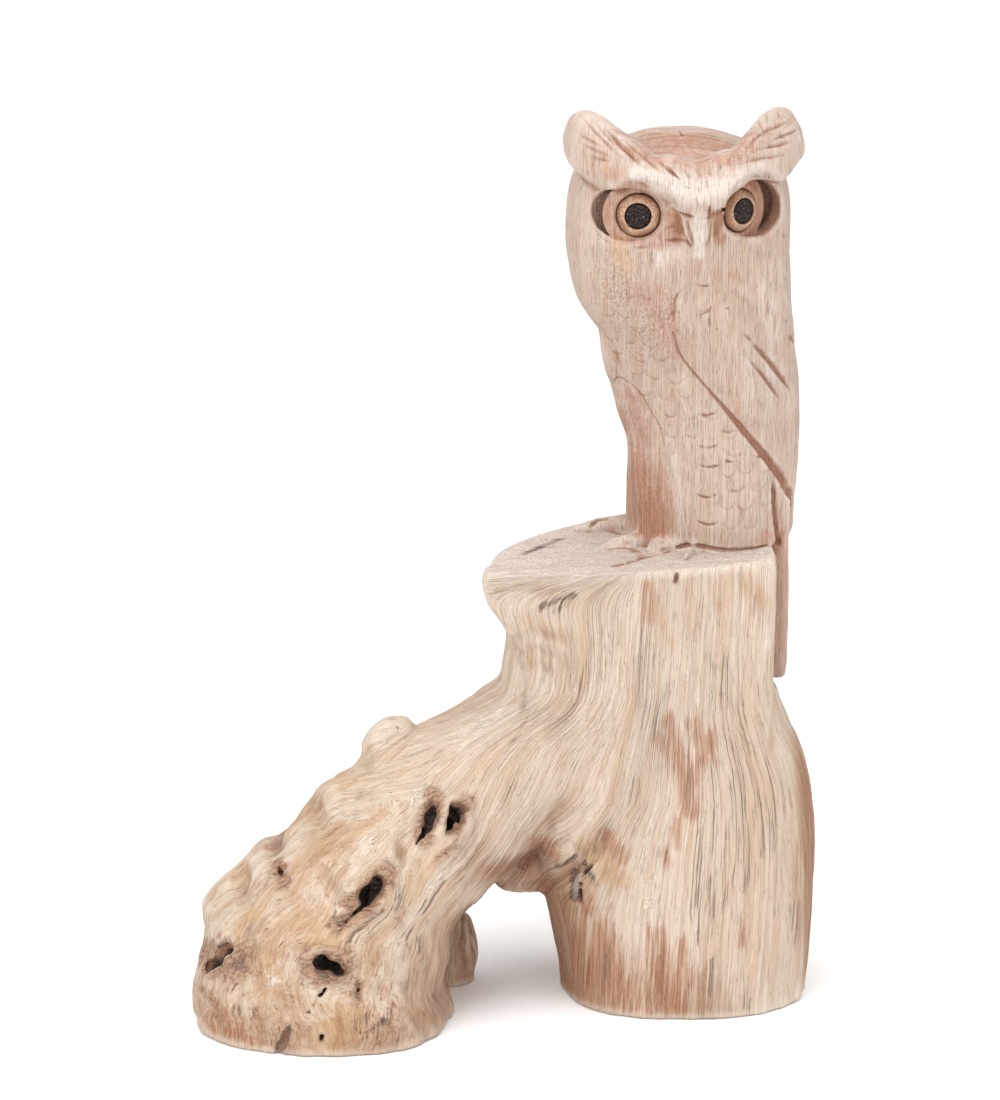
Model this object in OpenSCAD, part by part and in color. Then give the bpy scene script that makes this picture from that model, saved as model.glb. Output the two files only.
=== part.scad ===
// Carved owl perched on a forked root stump.
// Millimetres. The table is the plane z = 0, -Y is the front and +Z is up.

/* [Stump] */
// Height of the perch, where the owl stands, above the table
perch_h = 154; // [142:1:166]
// Slope of the perch, rising towards the back, in degrees
perch_rise = 1.5; // [0:0.5:5]
// Slope of the perch, falling towards the root, in degrees
perch_fall = 3.5; // [0:0.5:6]
// Width of the trunk at the table
trunk_w = 82; // [74:1:90]
// Depth of the trunk at the table, front to back
trunk_d = 84; // [76:1:92]
// Distance from the trunk's axis to the centre of the root's foot
root_reach = 119.5; // [112:0.5:126]
// Width of the root's foot at the table
foot_w = 88; // [80:1:96]
// Depth of the root's foot at the table, front to back
foot_d = 88; // [80:1:96]

/* [Owl] */
// Height of the crown above the perch
crown_h = 135; // [127:1:143]
// Width of the head across the cheeks
head_w = 72; // [68:1:78]
// Depth of the head, face to nape
head_d = 62; // [56:1:68]
// Width of the body above the feet
body_w = 56; // [50:1:60]
// Depth of the body above the feet
body_d = 46; // [42:1:52]
// Thickness of the tail that hangs over the trunk's side
tail_t = 5.5; // [5:0.5:8]
// Width of the tail, front to back
tail_w = 30; // [24:1:36]
// Length of the tail below the perch
tail_l = 49; // [40:1:54]

/* [Eyes] */
// Diameter of the turned iris plug
iris_d = 14; // [12:0.5:15]
// Depth of the iris plug in its bore
iris_l = 9; // [7:0.5:12]
// Diameter of the dark pupil peg
pupil_d = 8; // [6:0.5:9]
// Depth of the pupil peg in its bore
pupil_l = 5; // [4:0.5:6]
// Gap all round each plug, seen as a dark line
eye_gap = 0.25; // [0.1:0.05:0.4]

/* [Hidden] */

far = 400;               // larger than the whole figure
trunk_x = 61;            // trunk's axis at the table
trunk_y = 17;
foot_x = trunk_x - root_reach;
foot_y = -15;
owl_x = 69;              // axis of the owl's body at the perch
owl_y = 21;
head_x = 58;             // axis of the owl's head
head_y = 18;
body_turn = -33;         // the body faces the front left
rebate_x = 89.5;         // flat side cut on the trunk, against which the tail lies
rebate_z = perch_h - tail_l - 1;
left_eye = [head_x - 14, head_y - 0.5 * head_d + 1, perch_h + 0.834 * crown_h];
right_eye = [head_x + 19.5, head_y - 0.5 * head_d + 4, perch_h + 0.8415 * crown_h];
left_look = -3;
right_look = 40;

// The perch's height above the table at a point.
function perch_z(p) =
    perch_h + tan(perch_fall) * (p.x - trunk_x)
        + tan(perch_rise) / cos(perch_fall) * (p.y - trunk_y);

// The point of a smooth curve through the rows of k at t, where row i is at t = i.
function spline(k, t) =
    let (
        n = len(k) - 1,
        i = min(floor(t), n - 1),
        u = t - i,
        p0 = k[max(i - 1, 0)], p1 = k[i], p2 = k[i + 1], p3 = k[min(i + 2, n)]
    )
    0.5 * (2 * p1 + u * (p2 - p0) + u * u * (2 * p0 - 5 * p1 + 4 * p2 - p3)
        + u * u * u * (3 * p1 - p0 - 3 * p2 + p3));

// A superellipse's cosine or sine: power 1 is an ellipse, and less is squarer.
function soft(v, power) = sign(v) * pow(abs(v), power);

// How far the lumps [x, y, z, radius, height] push the point p outwards.
function swell(p, lumps, i = 0) =
    i >= len(lumps) ? 0
    : let (l = lumps[i], d = norm(p - [l.x, l.y, l.z]) / l[3])
        (d < 3 ? l[4] * exp(-d * d) : 0) + swell(p, lumps, i + 1);

// One ring of a limb. Row: centre x, y, z, half-width, half-depth, squareness, turn about Z.
function ring(row, lean, sides, lumps) =
    [for (j = [0 : sides - 1])
        let (
            a = 360 * j / sides,
            u = row[3] * soft(cos(a), row[5]),
            v = row[4] * soft(sin(a), row[5]),
            c = [row[0], row[1], row[2]],
            x = u * cos(row[6]) - v * sin(row[6]),
            y = u * sin(row[6]) + v * cos(row[6]),
            d = [x * cos(lean), y, x * sin(lean)],
            p = c + d
        )
        p + d / norm(d) * swell(p, lumps)];

// A closed skin through smoothly varied rings. Level rings stay horizontal and run
// upwards. The others stand square to the centre line in the XZ plane.
module limb(keys, rings, sides, lumps = [], level = true) {
    last = len(keys) - 1;
    rows = [for (i = [0 : rings - 1]) spline(keys, last * i / (rings - 1))];
    function lean(i) = level ? 0 :
        let (s = rows[min(i + 1, rings - 1)] - rows[max(i - 1, 0)]) atan2(-s[0], s[2]);
    points = [for (i = [0 : rings - 1]) each ring(rows[i], lean(i), sides, lumps)];
    walls = [for (i = [0 : rings - 2], j = [0 : sides - 1])
        let (k = (j + 1) % sides)
            each [[i * sides + j, (i + 1) * sides + j, (i + 1) * sides + k],
                [i * sides + j, (i + 1) * sides + k, i * sides + k]]];
    start_cap = [for (j = [0 : sides - 1]) j];
    end_cap = [for (j = [sides - 1 : -1 : 0]) (rings - 1) * sides + j];
    polyhedron(points, concat(walls, [start_cap, end_cap]), convexity = 6);
}

// Everything above the sloping perch.
module above_perch() {
    translate([trunk_x, trunk_y, perch_h]) rotate([perch_rise, -perch_fall, 0])
        translate([-far / 2, -far / 2, 0]) cube([far, far, far]);
}

// Everything below the sloping perch.
module below_perch() {
    translate([trunk_x, trunk_y, perch_h]) rotate([perch_rise, -perch_fall, 0])
        translate([-far / 2, -far / 2, -far]) cube([far, far, far]);
}

// The upright trunk, from the table to the perch and its overhanging lip.
module trunk() {
    w = trunk_w / 2;
    d = trunk_d / 2;
    limb([
        [trunk_x, trunk_y, -8, w - 1, d - 1, 0.82, 0],
        [trunk_x, trunk_y, 12, w + 1, d, 0.82, 0],
        [trunk_x - 2, trunk_y, 36, w + 4.5, d, 0.85, 0],
        [trunk_x - 6, trunk_y, 0.373 * perch_h, w + 8.5, d, 0.88, 0],
        [trunk_x - 9, trunk_y, 0.52 * perch_h, w + 8, d, 0.9, 0],
        [trunk_x - 15, trunk_y, 0.667 * perch_h, w + 5, d, 0.92, 0],
        [trunk_x - 14, trunk_y, 0.804 * perch_h, w + 4, d, 0.95, 0],
        [trunk_x - 15, trunk_y - 3, 0.932 * perch_h, w + 11, d - 6, 1.1, 22],
        [trunk_x - 12, trunk_y - 4, 1.07 * perch_h, w + 6, d - 7, 1.1, 22]
    ], 34, 44);
}

// The straight front of the trunk, which makes the perch's front rim nearly straight.
module front_face() {
    limb([
        [trunk_x - 9, trunk_y - 23, 0.44 * perch_h, 34, 13, 0.75, 0],
        [trunk_x - 11, trunk_y - 24, 0.65 * perch_h, 40, 14.5, 0.72, 0],
        [trunk_x - 12.5, trunk_y - 24, 0.8 * perch_h, 43, 15.5, 0.72, 0],
        [trunk_x - 17, trunk_y - 24, 0.93 * perch_h, 49, 16, 0.78, 0],
        [trunk_x - 15, trunk_y - 24, 1.07 * perch_h, 46, 16, 0.8, 0]
    ], 20, 36);
}

// The root that leaves the trunk's side and comes down to its own foot.
module root() {
    w = foot_w / 2;
    d = foot_d / 2;
    limb([
        [trunk_x - 30, trunk_y - 2, 96, 24, d - 13, 0.9, 0],
        [trunk_x - 50, trunk_y - 4, 82, 26, d - 11, 0.9, 0],
        [trunk_x - 73, trunk_y - 10, 67, 27, d - 8, 0.9, 0],
        [foot_x + 22, foot_y + 8, 50, 31, d - 5, 0.9, 0],
        [foot_x + 10, foot_y + 4, 33, 36, d - 2, 0.88, 0],
        [foot_x + 2, foot_y, 15, w - 3, d, 0.86, 0],
        [foot_x, foot_y, -8, w, d, 0.86, 0]
    ], 30, 44, [
        [-39, 4, 90, 7, 7],       // burls along the upper edge
        [-63, -1, 74, 9, 5],
        [-76, -3, 50, 8, 3],
        [-95, -7, 36, 11, 7],
        [-101, -8, 8, 12, 3],
        [-40, 34, 60, 14, 5],     // and down the back
        [-72, 34, 28, 14, 5],
        [-44, -56, 2, 16, 2]
    ], level = false);
}

// A small root lobe, given its lower end, its upper end and its thickness.
module lobe(low, high, r) {
    middle = (low + high) / 2;
    limb([
        [low.x, low.y, low.z, 0.7 * r, 0.7 * r, 0.9, 0],
        [middle.x, middle.y, middle.z, 1.1 * r, 1.1 * r, 0.9, 0],
        [high.x, high.y, high.z, 0.5 * r, 0.5 * r, 0.9, 0]
    ], 9, 16);
}

// The natural stump: trunk, root and lobes, sawn flat underneath.
module root_stump() {
    color("wheat")
        difference() {
            union() {
                trunk();
                front_face();
                root();
                lobe([-21, -20, -6], [-26, -16, 15], 8);
                lobe([-20, 16, -6], [-15, 20, 22], 9);
                lobe([-40, 2, 77], [-35, 4, 94], 8.5);
                lobe([6, 8, 35], [14, 14, 56], 12);
            }
            translate([-far / 2, -far / 2, -far]) cube([far, far, far]);
            above_perch();
            translate([rebate_x, -far / 2, rebate_z]) cube([far, far, far]);
        }
}

// The bird's body and head, in one smooth skin.
module owl_skin() {
    w = body_w / 2;
    d = body_d / 2;
    hw = head_w / 2;
    hd = head_d / 2;
    h = crown_h;
    z = perch_h;
    limb([
        [owl_x, owl_y, z - 9, w, d, 0.86, body_turn],
        [owl_x, owl_y, z + 0.04 * h, w, d, 0.86, body_turn],
        [owl_x + 0.5, owl_y, z + 0.18 * h, w, d + 1, 0.88, body_turn],
        [owl_x, owl_y - 1, z + 0.346 * h, w, d + 2, 0.9, body_turn],
        [owl_x - 3.5, owl_y - 2, z + 0.489 * h, w + 3, d + 5, 0.92, 0.6 * body_turn],
        [head_x + 2, head_y, z + 0.601 * h, hw - 1, hd - 1, 0.85, 0],
        [head_x, head_y, z + 0.714 * h, hw, hd, 0.82, 8],
        [head_x, head_y, z + 0.816 * h, hw, hd, 0.82, 10],
        [head_x, head_y + 1, z + 0.898 * h, hw - 2, hd - 2, 0.84, 10],
        [head_x, head_y + 3, z + 0.959 * h, 0.72 * hw, 0.72 * hd, 0.9, 8],
        [head_x, head_y + 4, z + h, 0.3 * hw, 0.3 * hd, 1, 8]
    ], 46, 44);
}

// A brow that sweeps up from above the beak into an ear tuft.
module brow(tip) {
    start = [head_x + 6, head_y - 0.5 * head_d - 1, perch_h + 0.872 * crown_h];
    step = tip - start;
    limb([
        [start.x, start.y, start.z, 5, 7, 1, 0],
        [start.x + 0.3 * step.x, start.y + 0.12 * step.y, start.z + 0.2 * step.z, 7.5, 11, 1, 0],
        [start.x + 0.65 * step.x, start.y + 0.42 * step.y, start.z + 0.58 * step.z, 10, 11, 1, 0],
        [start.x + 0.9 * step.x, start.y + 0.8 * step.y, start.z + 0.9 * step.z, 9, 7, 1, 0],
        [tip.x, tip.y, tip.z, 4, 3, 1, 0]
    ], 17, 20, level = false);
}

// The ridge of the bill, running down from the brows.
module bill() {
    x = head_x + 6;
    y = head_y - 0.5 * head_d;
    z = perch_h + 0.744 * crown_h;
    limb([
        [x, y + 1, z - 2, 1.5, 2, 1, 0],
        [x, y - 2, z + 3, 4, 5, 1, 0],
        [x, y - 2, z + 11, 4, 5, 1, 0],
        [x, y, z + 22, 3, 4, 1, 0]
    ], 11, 16);
}

// A folded wing on the body's left (side 1) or right (side -1). Row: how far down from
// the shoulder, distance out from the body's axis, set-back, half-thickness, half-width.
module wing(side) {
    c = cos(body_turn);
    t = sin(body_turn);
    function part_way(down, out, back, thick, wide) =
        [owl_x - 3 + side * out * c - back * t, owl_y - 3 + side * out * t + back * c,
            perch_h + 93 - down, thick, wide, 0.9, body_turn];
    limb([
        part_way(78, 25, 10, 4, 5),
        part_way(56, 23, 6, 7, 14),
        part_way(34, 22, -1, 8, 21),
        part_way(12, 19, -7, 8, 20),
        part_way(0, 14, -10, 4, 11)
    ], 19, 24);
}

// A toe that lies along the perch, from the ankle to the claw.
module toe(ankle, claw) {
    function part_way(t, r, up) =
        let (p = ankle + t * (claw - ankle)) [p.x, p.y, perch_z(p) + up, r, r, 1, 0];
    limb([part_way(0, 4.5, 0.5), part_way(0.5, 4, 0), part_way(1, 2, -0.5)], 8, 14, level = false);
}

// The flat tail that hangs down outside the trunk, rounded at both ends.
module tail() {
    translate([rebate_x, owl_y, rebate_z + 1 + tail_w / 2])
        rotate([90, 0, 90])
            linear_extrude(tail_t)
                union() {
                    circle(d = tail_w, $fn = 48);
                    translate([-tail_w / 2, 0]) square([tail_w, tail_l]);
                    translate([0, tail_l]) circle(d = tail_w, $fn = 48);
                }
}

// Moves what follows to an eye, facing out along +Z.
module at_left_eye() {
    translate(left_eye) rotate([90, 0, left_look]) children();
}
module at_right_eye() {
    translate(right_eye) rotate([90, 0, right_look]) children();
}

// The dished socket and its bore, cut from the head.
module socket() {
    rotate_extrude($fn = 96)
        polygon([
            [0, -iris_l],
            [iris_d / 2 + eye_gap, -iris_l],
            [iris_d / 2 + eye_gap, 0],
            [iris_d / 2 + 4, 1.5],
            [iris_d / 2 + 9, 12],
            [0, 12]
        ]);
}

// A turned iris with a raised lip, a bore for the pupil and a flat back.
module iris() {
    rotate_extrude($fn = 96)
        polygon([
            [0, -iris_l],
            [iris_d / 2, -iris_l],
            [iris_d / 2, 0],
            [iris_d / 2 - 1, 1],
            [pupil_d / 2 + eye_gap, 1.2],
            [pupil_d / 2 + eye_gap, 1 - pupil_l],
            [0, 1 - pupil_l]
        ]);
}

// A dark peg with a rounded front.
module pupil() {
    rotate_extrude($fn = 96)
        polygon([
            [0, 1 - pupil_l],
            [pupil_d / 2, 1 - pupil_l],
            [pupil_d / 2, 1],
            for (a = [15 : 15 : 90]) [pupil_d / 2 * cos(a), 1 + 1.2 * sin(a)]
        ]);
}

// The bird: body, head, wings, tail and toes from one piece of wood.
module owl() {
    color("tan")
        difference() {
            union() {
                difference() {
                    union() {
                        owl_skin();
                        brow([head_x - 37, head_y - 4, perch_h + 137]);
                        brow([head_x + 38, head_y - 1, perch_h + 139]);
                        bill();
                        wing(1);
                        wing(-1);
                        toe([66, 6], [57, -22]);
                        toe([62, 8], [33, -6]);
                        toe([56, 14], [32, 9]);
                        toe([46, 34], [24, 33]);
                    }
                    below_perch();
                }
                tail();
            }
            at_left_eye() socket();
            at_right_eye() socket();
        }
}

module left_iris() { color("burlywood") at_left_eye() iris(); }
module right_iris() { color("burlywood") at_right_eye() iris(); }
module left_pupil() { color("saddlebrown") at_left_eye() pupil(); }
module right_pupil() { color("saddlebrown") at_right_eye() pupil(); }

root_stump();
owl();
left_iris();
right_iris();
left_pupil();
right_pupil();
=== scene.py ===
"""Looks of the carved owl on its root stump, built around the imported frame.

Lengths are in millimetres until a mesh is made.
"""
import math

import bpy
import numpy as np
import openvdb as vdb
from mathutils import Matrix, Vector


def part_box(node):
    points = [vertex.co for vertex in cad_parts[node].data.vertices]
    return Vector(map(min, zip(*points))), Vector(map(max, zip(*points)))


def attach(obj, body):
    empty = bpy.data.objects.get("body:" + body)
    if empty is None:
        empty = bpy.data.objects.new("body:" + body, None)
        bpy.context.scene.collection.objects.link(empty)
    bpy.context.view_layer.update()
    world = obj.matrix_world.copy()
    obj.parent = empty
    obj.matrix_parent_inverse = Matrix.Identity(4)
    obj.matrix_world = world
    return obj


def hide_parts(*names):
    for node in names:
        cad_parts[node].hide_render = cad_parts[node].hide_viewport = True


MM = 0.001
OWL_VOXEL = 0.45
STUMP_VOXEL = 0.8
SEAM_VOXELS = 7  # how far the wood is run on past a flat cut before it is softened
BORE_RADIUS, BORE_DEPTH = 7.15, 9.2
COLLAR_RADIUS, STEP_RADIUS, SOCKET_DEPTH = 9.0, 11.2, 12
IRIS_FRONT = 3.9  # from the iris's middle to its front edge
CAMERA_DISTANCE, CAMERA_DOWN, CAMERA_LENS = 1.6, 14, 158.66
FLOOR_HALF = 9.0

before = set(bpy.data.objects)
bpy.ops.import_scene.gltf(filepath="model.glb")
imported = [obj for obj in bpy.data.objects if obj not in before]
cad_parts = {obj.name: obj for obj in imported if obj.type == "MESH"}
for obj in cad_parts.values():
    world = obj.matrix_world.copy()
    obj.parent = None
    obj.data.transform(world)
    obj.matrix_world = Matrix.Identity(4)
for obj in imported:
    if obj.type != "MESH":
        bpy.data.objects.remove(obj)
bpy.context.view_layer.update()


def box_mm(node):
    return [np.array(c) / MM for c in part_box(node)]


OWL_LO, OWL_HI = box_mm("owl")
STUMP_LO, STUMP_HI = box_mm("root_stump")
LATTICE = np.random.default_rng(11).uniform(-1, 1, (32, 32, 32)).astype(np.float32)


# ---------------------------------------------------------------- small numeric helpers

def corners(f):
    """The eight corners of a cell, each with its weight at the place f within the cell."""
    for corner in np.ndindex(2, 2, 2):
        w = [f[:, k] if corner[k] else 1 - f[:, k] for k in range(3)]
        yield corner, w[0] * w[1] * w[2]


def noise(p, size):
    """Smooth lattice noise from -1 to 1 at points p, in blobs size mm across (one number, or three)."""
    q = p / np.asarray(size, np.float32)
    i = np.floor(q).astype(np.int64)
    f = (q - i).astype(np.float32)
    f = f * f * (3 - 2 * f)
    total = 0
    for corner, w in corners(f):
        j = (i + corner) % len(LATTICE)
        total = total + w * LATTICE[j[:, 0], j[:, 1], j[:, 2]]
    return total * 1.6


def layered(p, size, layers=3):
    """Noise with finer, weaker layers on top."""
    size = np.asarray(size, float)
    return sum(noise(p + 37.0 * k, size / 2 ** k) / 2 ** k for k in range(layers)) / 1.5


def ramp(x, lo, hi):
    t = np.clip((x - lo) / (hi - lo), 0, 1)
    return t * t * (3 - 2 * t)


def smin(a, b, k):
    h = np.clip(0.5 + 0.5 * (b - a) / k, 0, 1)
    return b * (1 - h) + a * h - k * h * (1 - h)


def smax(a, b, k):
    return -smin(-a, -b, k)


def resample(points, step):
    """The same path, through a smooth curve, with points about step apart."""
    p = np.asarray(points, float)
    if len(p) > 2:
        e = np.vstack([2 * p[0] - p[1], p, 2 * p[-1] - p[-2]])
        fine = []
        for i in range(1, len(e) - 2):
            a, b, c, d = e[i - 1 : i + 3]
            for u in np.linspace(0, 1, 8, endpoint=False):
                square, cube = u * u * (2 * a - 5 * b + 4 * c - d), u ** 3 * (3 * b - a - 3 * c + d)
                fine.append(0.5 * (2 * b + u * (c - a) + square + cube))
        p = np.array(fine + [p[-1]])
    s = np.concatenate([[0], np.cumsum(np.linalg.norm(np.diff(p, axis=0), axis=1))])
    n = max(2, int(round(s[-1] / step)) + 1)
    t = np.linspace(0, s[-1], n)
    return np.stack([np.interp(t, s, p[:, k]) for k in range(p.shape[1])], 1)


def table(text):
    """Rows of numbers: 'a b, c d; e f' is two rows, the first of two pairs and the second of one."""
    return [[tuple(float(n) for n in cell.split()) for cell in row.split(",")] for row in text.split(";")]


# ---------------------------------------------------------------- the wood as a distance field

class Field:
    """Distance to the surface on a box of voxels, negative inside the wood."""

    def __init__(self, node, h, band):
        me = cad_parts[node].data
        me.calc_loop_triangles()
        co = np.zeros(len(me.vertices) * 3, np.float32)
        me.vertices.foreach_get("co", co)
        tri = np.zeros(len(me.loop_triangles) * 3, np.int32)
        me.loop_triangles.foreach_get("vertices", tri)
        co, place = np.unique(np.round(co.reshape(-1, 3) / MM, 3), axis=0, return_inverse=True)
        tri = place.reshape(-1)[tri].reshape(-1, 3)
        self.h = h
        self.transform = vdb.createLinearTransform(voxelSize=h)
        co, tri = co.astype(np.float32), tri.astype(np.uint32)
        grid = vdb.FloatGrid.createLevelSetFromPolygons(
            co, triangles=tri, transform=self.transform, halfWidth=band)
        lo, hi = grid.evalActiveVoxelBoundingBox()
        self.i0 = np.array(lo)
        self.a = np.zeros(np.array(hi) - self.i0 + 1, np.float32)
        grid.copyToArray(self.a, ijk=tuple(int(i) for i in lo))

    def window(self, lo, hi):
        """The voxels between two corners, and their coordinates along each axis."""
        s, c = [], []
        for k in range(3):
            a = max(0, int(lo[k] / self.h) - 1 - self.i0[k])
            b = min(self.a.shape[k], int(hi[k] / self.h) + 2 - self.i0[k])
            s.append(slice(a, max(a + 1, b)))
            c.append(((np.arange(a, max(a + 1, b)) + self.i0[k]) * self.h).astype(np.float32))
        return tuple(s), (c[0][:, None, None], c[1][None, :, None], c[2][None, None, :])

    def everywhere(self):
        """The coordinates of all the voxels along each axis."""
        lo = self.i0 * self.h
        return self.window(lo, lo + (np.array(self.a.shape) - 1) * self.h)[1]

    def blur(self, sigma):
        s = sigma / self.h
        r = max(1, int(math.ceil(2.5 * s)))
        w = np.exp(-0.5 * (np.arange(-r, r + 1) / s) ** 2)
        w = (w / w.sum()).astype(np.float32)
        for axis in range(3):
            wide = np.pad(self.a, [(r, r) if k == axis else (0, 0) for k in range(3)], mode="edge")
            n, whole = self.a.shape[axis], (slice(None),) * axis
            self.a = sum(w[j] * wide[whole + (slice(j, j + n),)] for j in range(2 * r + 1))

    def sample(self, p):
        top = np.array(self.a.shape) - 1.001
        q = np.clip(p / self.h - self.i0, 0, top)
        i = q.astype(np.int64)
        f = (q - i).astype(np.float32)
        out = 0
        for corner, w in corners(f):
            j = i + corner
            out = out + w * self.a[j[:, 0], j[:, 1], j[:, 2]]
        return out

    def normal(self, p, reach=1.2):
        g = np.stack([self.sample(p + d) - self.sample(p - d) for d in np.eye(3) * reach], 1)
        return g / np.maximum(np.linalg.norm(g, axis=1, keepdims=True), 1e-6)

    def hit(self, p, direction):
        """Where rays from points p first meet the wood. A ray that misses gives its nearest approach."""
        d = np.asarray(direction, float)
        best, where, done = np.full(len(p), 1e9), np.array(p, float), np.zeros(len(p), bool)
        q = np.array(p, float)
        for _ in range(int(260 / self.h)):
            v = self.sample(q)
            better = ~done & (v < best)
            where[better], best[better] = q[better], v[better]
            done |= v <= 0
            if done.all():
                break
            q = q + d * np.clip(v, 0.4 * self.h, 4)[:, None]
        return where

    def chain(self, points, radii):
        """Distance to a chain of round-ended cones, and the voxels near it."""
        pad = float(np.max(radii)) + 2.0
        sl, (x, y, z) = self.window(points.min(0) - pad, points.max(0) + pad)
        out = None
        for a, b, ra, rb in zip(points[:-1], points[1:], radii[:-1], radii[1:]):
            ab = b - a
            along = (x - a[0]) * ab[0] + (y - a[1]) * ab[1] + (z - a[2]) * ab[2]
            t = np.clip(along / max(ab @ ab, 1e-6), 0, 1)
            off = (x - a[0] - t * ab[0]) ** 2 + (y - a[1] - t * ab[1]) ** 2 + (z - a[2] - t * ab[2]) ** 2
            d = np.sqrt(off) - (ra + t * (rb - ra))
            out = d if out is None else np.minimum(out, d)
        return sl, out

    def places(self, sl):
        """Coordinates of every voxel in a window, as rows."""
        axes = [(np.arange(s.start, s.stop) + i) * self.h for s, i in zip(sl, self.i0)]
        return np.stack([c.ravel() for c in np.meshgrid(*axes, indexing="ij")], 1)

    def cut(self, points, radii, soft=0.3, ragged=0, size=2.0):
        """Takes a chain of cones out of the wood. The edge wanders by ragged."""
        sl, d = self.chain(np.asarray(points, float), np.asarray(radii, float))
        if ragged:
            d = d + ragged * layered(self.places(sl), size, 2).reshape(d.shape)
        self.a[sl] = smax(self.a[sl], -d, soft)

    def add(self, points, radii, soft=1.0):
        sl, d = self.chain(np.asarray(points, float), np.asarray(radii, float))
        self.a[sl] = smin(self.a[sl], d, soft)

    def groove(self, points, width, depth, taper=(1, 1), soft=0.25):
        """A round-bottomed knife cut along surface points, thinning out at the ends that taper."""
        p = resample(points, 1.5)
        n = self.normal(p)
        t = np.linspace(0, 1, len(p))
        fade = np.minimum(ramp(t, -0.05, 0.35 * taper[0] + 0.02),
                          ramp(1 - t, -0.05, 0.35 * taper[1] + 0.02))
        w, d = width * (0.35 + 0.65 * fade), depth * np.maximum(fade, 0.05)
        r = np.minimum((w * w / 4 + d * d) / (2 * d), 6 * width)
        self.cut(p + n * (r - d)[:, None], r, soft)

    def soften(self, centre, radius, sigma):
        """Blurs the surface in a soft round patch."""
        c = np.asarray(centre, float)
        sl, (x, y, z) = self.window(c - 2 * radius, c + 2 * radius)
        patch = object.__new__(Field)
        patch.h, patch.a = self.h, self.a[sl]
        patch.blur(sigma)
        share = np.exp(-(((x - c[0]) ** 2 + (y - c[1]) ** 2 + (z - c[2]) ** 2) / radius ** 2) ** 2)
        self.a[sl] += (share * (patch.a - self.a[sl])).astype(np.float32)

    def swell(self, centre, radius, height):
        """Raises (or with a negative height, sinks) the surface in a soft round patch."""
        c = np.asarray(centre, float)
        radius = np.broadcast_to(np.asarray(radius, float), 3)
        sl, (x, y, z) = self.window(c - 2.6 * radius, c + 2.6 * radius)
        d = ((x - c[0]) / radius[0]) ** 2 + ((y - c[1]) / radius[1]) ** 2 + ((z - c[2]) / radius[2]) ** 2
        self.a[sl] -= (height * np.exp(-d)).astype(np.float32)

    def near(self, reach=3.0):
        """Indices and coordinates of the voxels near the surface."""
        i = np.nonzero(np.abs(self.a) < reach)
        return i, (np.stack(i, 1) + self.i0).astype(np.float32) * self.h

    def roughen(self, height, size, layers=3, mask=None):
        i, p = self.near()
        n = height * layered(p, size, layers)
        self.a[i] += (n if mask is None else n * mask(p)).astype(np.float32)

    def copy(self):
        other = object.__new__(Field)
        other.h, other.i0, other.transform, other.a = self.h, self.i0, self.transform, self.a.copy()
        return other

    def skin(self):
        """Vertices and quads of the surface, without stray islands."""
        grid = vdb.FloatGrid(background=float(self.a.max()))
        grid.copyFromArray(np.ascontiguousarray(self.a, np.float32), ijk=tuple(int(i) for i in self.i0))
        grid.transform = self.transform
        grid.gridClass = vdb.GridClass.LEVEL_SET
        co, quads = grid.convertToQuads(isovalue=0.0)
        co, quads = np.asarray(co, float), np.asarray(quads, np.int64)
        label = np.arange(len(co))
        edges = np.vstack([quads[:, [0, 1]], quads[:, [1, 2]], quads[:, [2, 3]], quads[:, [3, 0]]])
        while True:
            low = np.minimum(label[edges[:, 0]], label[edges[:, 1]])
            new = label.copy()
            np.minimum.at(new, edges[:, 0], low)
            np.minimum.at(new, edges[:, 1], low)
            new = new[new]
            if (new == label).all():
                break
            label = new
        main = np.bincount(label).argmax()
        quads = quads[label[quads[:, 0]] == main]
        used, inverse = np.unique(quads, return_inverse=True)
        co, quads = co[used], inverse.reshape(quads.shape)
        tri = co[quads[:, [0, 1, 2]]]
        if np.einsum("ij,ij->", tri[:, 0], np.cross(tri[:, 1], tri[:, 2])) < 0:
            quads = quads[:, ::-1]
        return co, quads


def vertex_normals(co, quads):
    fn = np.cross(co[quads[:, 2]] - co[quads[:, 0]], co[quads[:, 3]] - co[quads[:, 1]])
    n = np.zeros_like(co)
    for k in range(4):
        for axis in range(3):
            n[:, axis] += np.bincount(quads[:, k], fn[:, axis], len(co))
    return n / np.maximum(np.linalg.norm(n, axis=1, keepdims=True), 1e-9)


def calmed(co, quads, rounds):
    """The vertices averaged with their neighbours, so that grain runs on over small bumps.

    Also how far each turns sideways.
    """
    i = np.concatenate([quads[:, k] for k in range(4)])
    j = np.concatenate([quads[:, (k + 1) % 4] for k in range(4)])
    count = np.maximum(np.bincount(i, minlength=len(co)) + np.bincount(j, minlength=len(co)), 1)
    for _ in range(rounds):
        total = [np.bincount(i, co[j, k], len(co)) + np.bincount(j, co[i, k], len(co)) for k in range(3)]
        co = 0.5 * co + 0.5 * np.stack(total, 1) / count[:, None]
    return co, ramp(-np.abs(vertex_normals(co, quads)[:, 1]), -0.62, -0.40)


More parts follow.
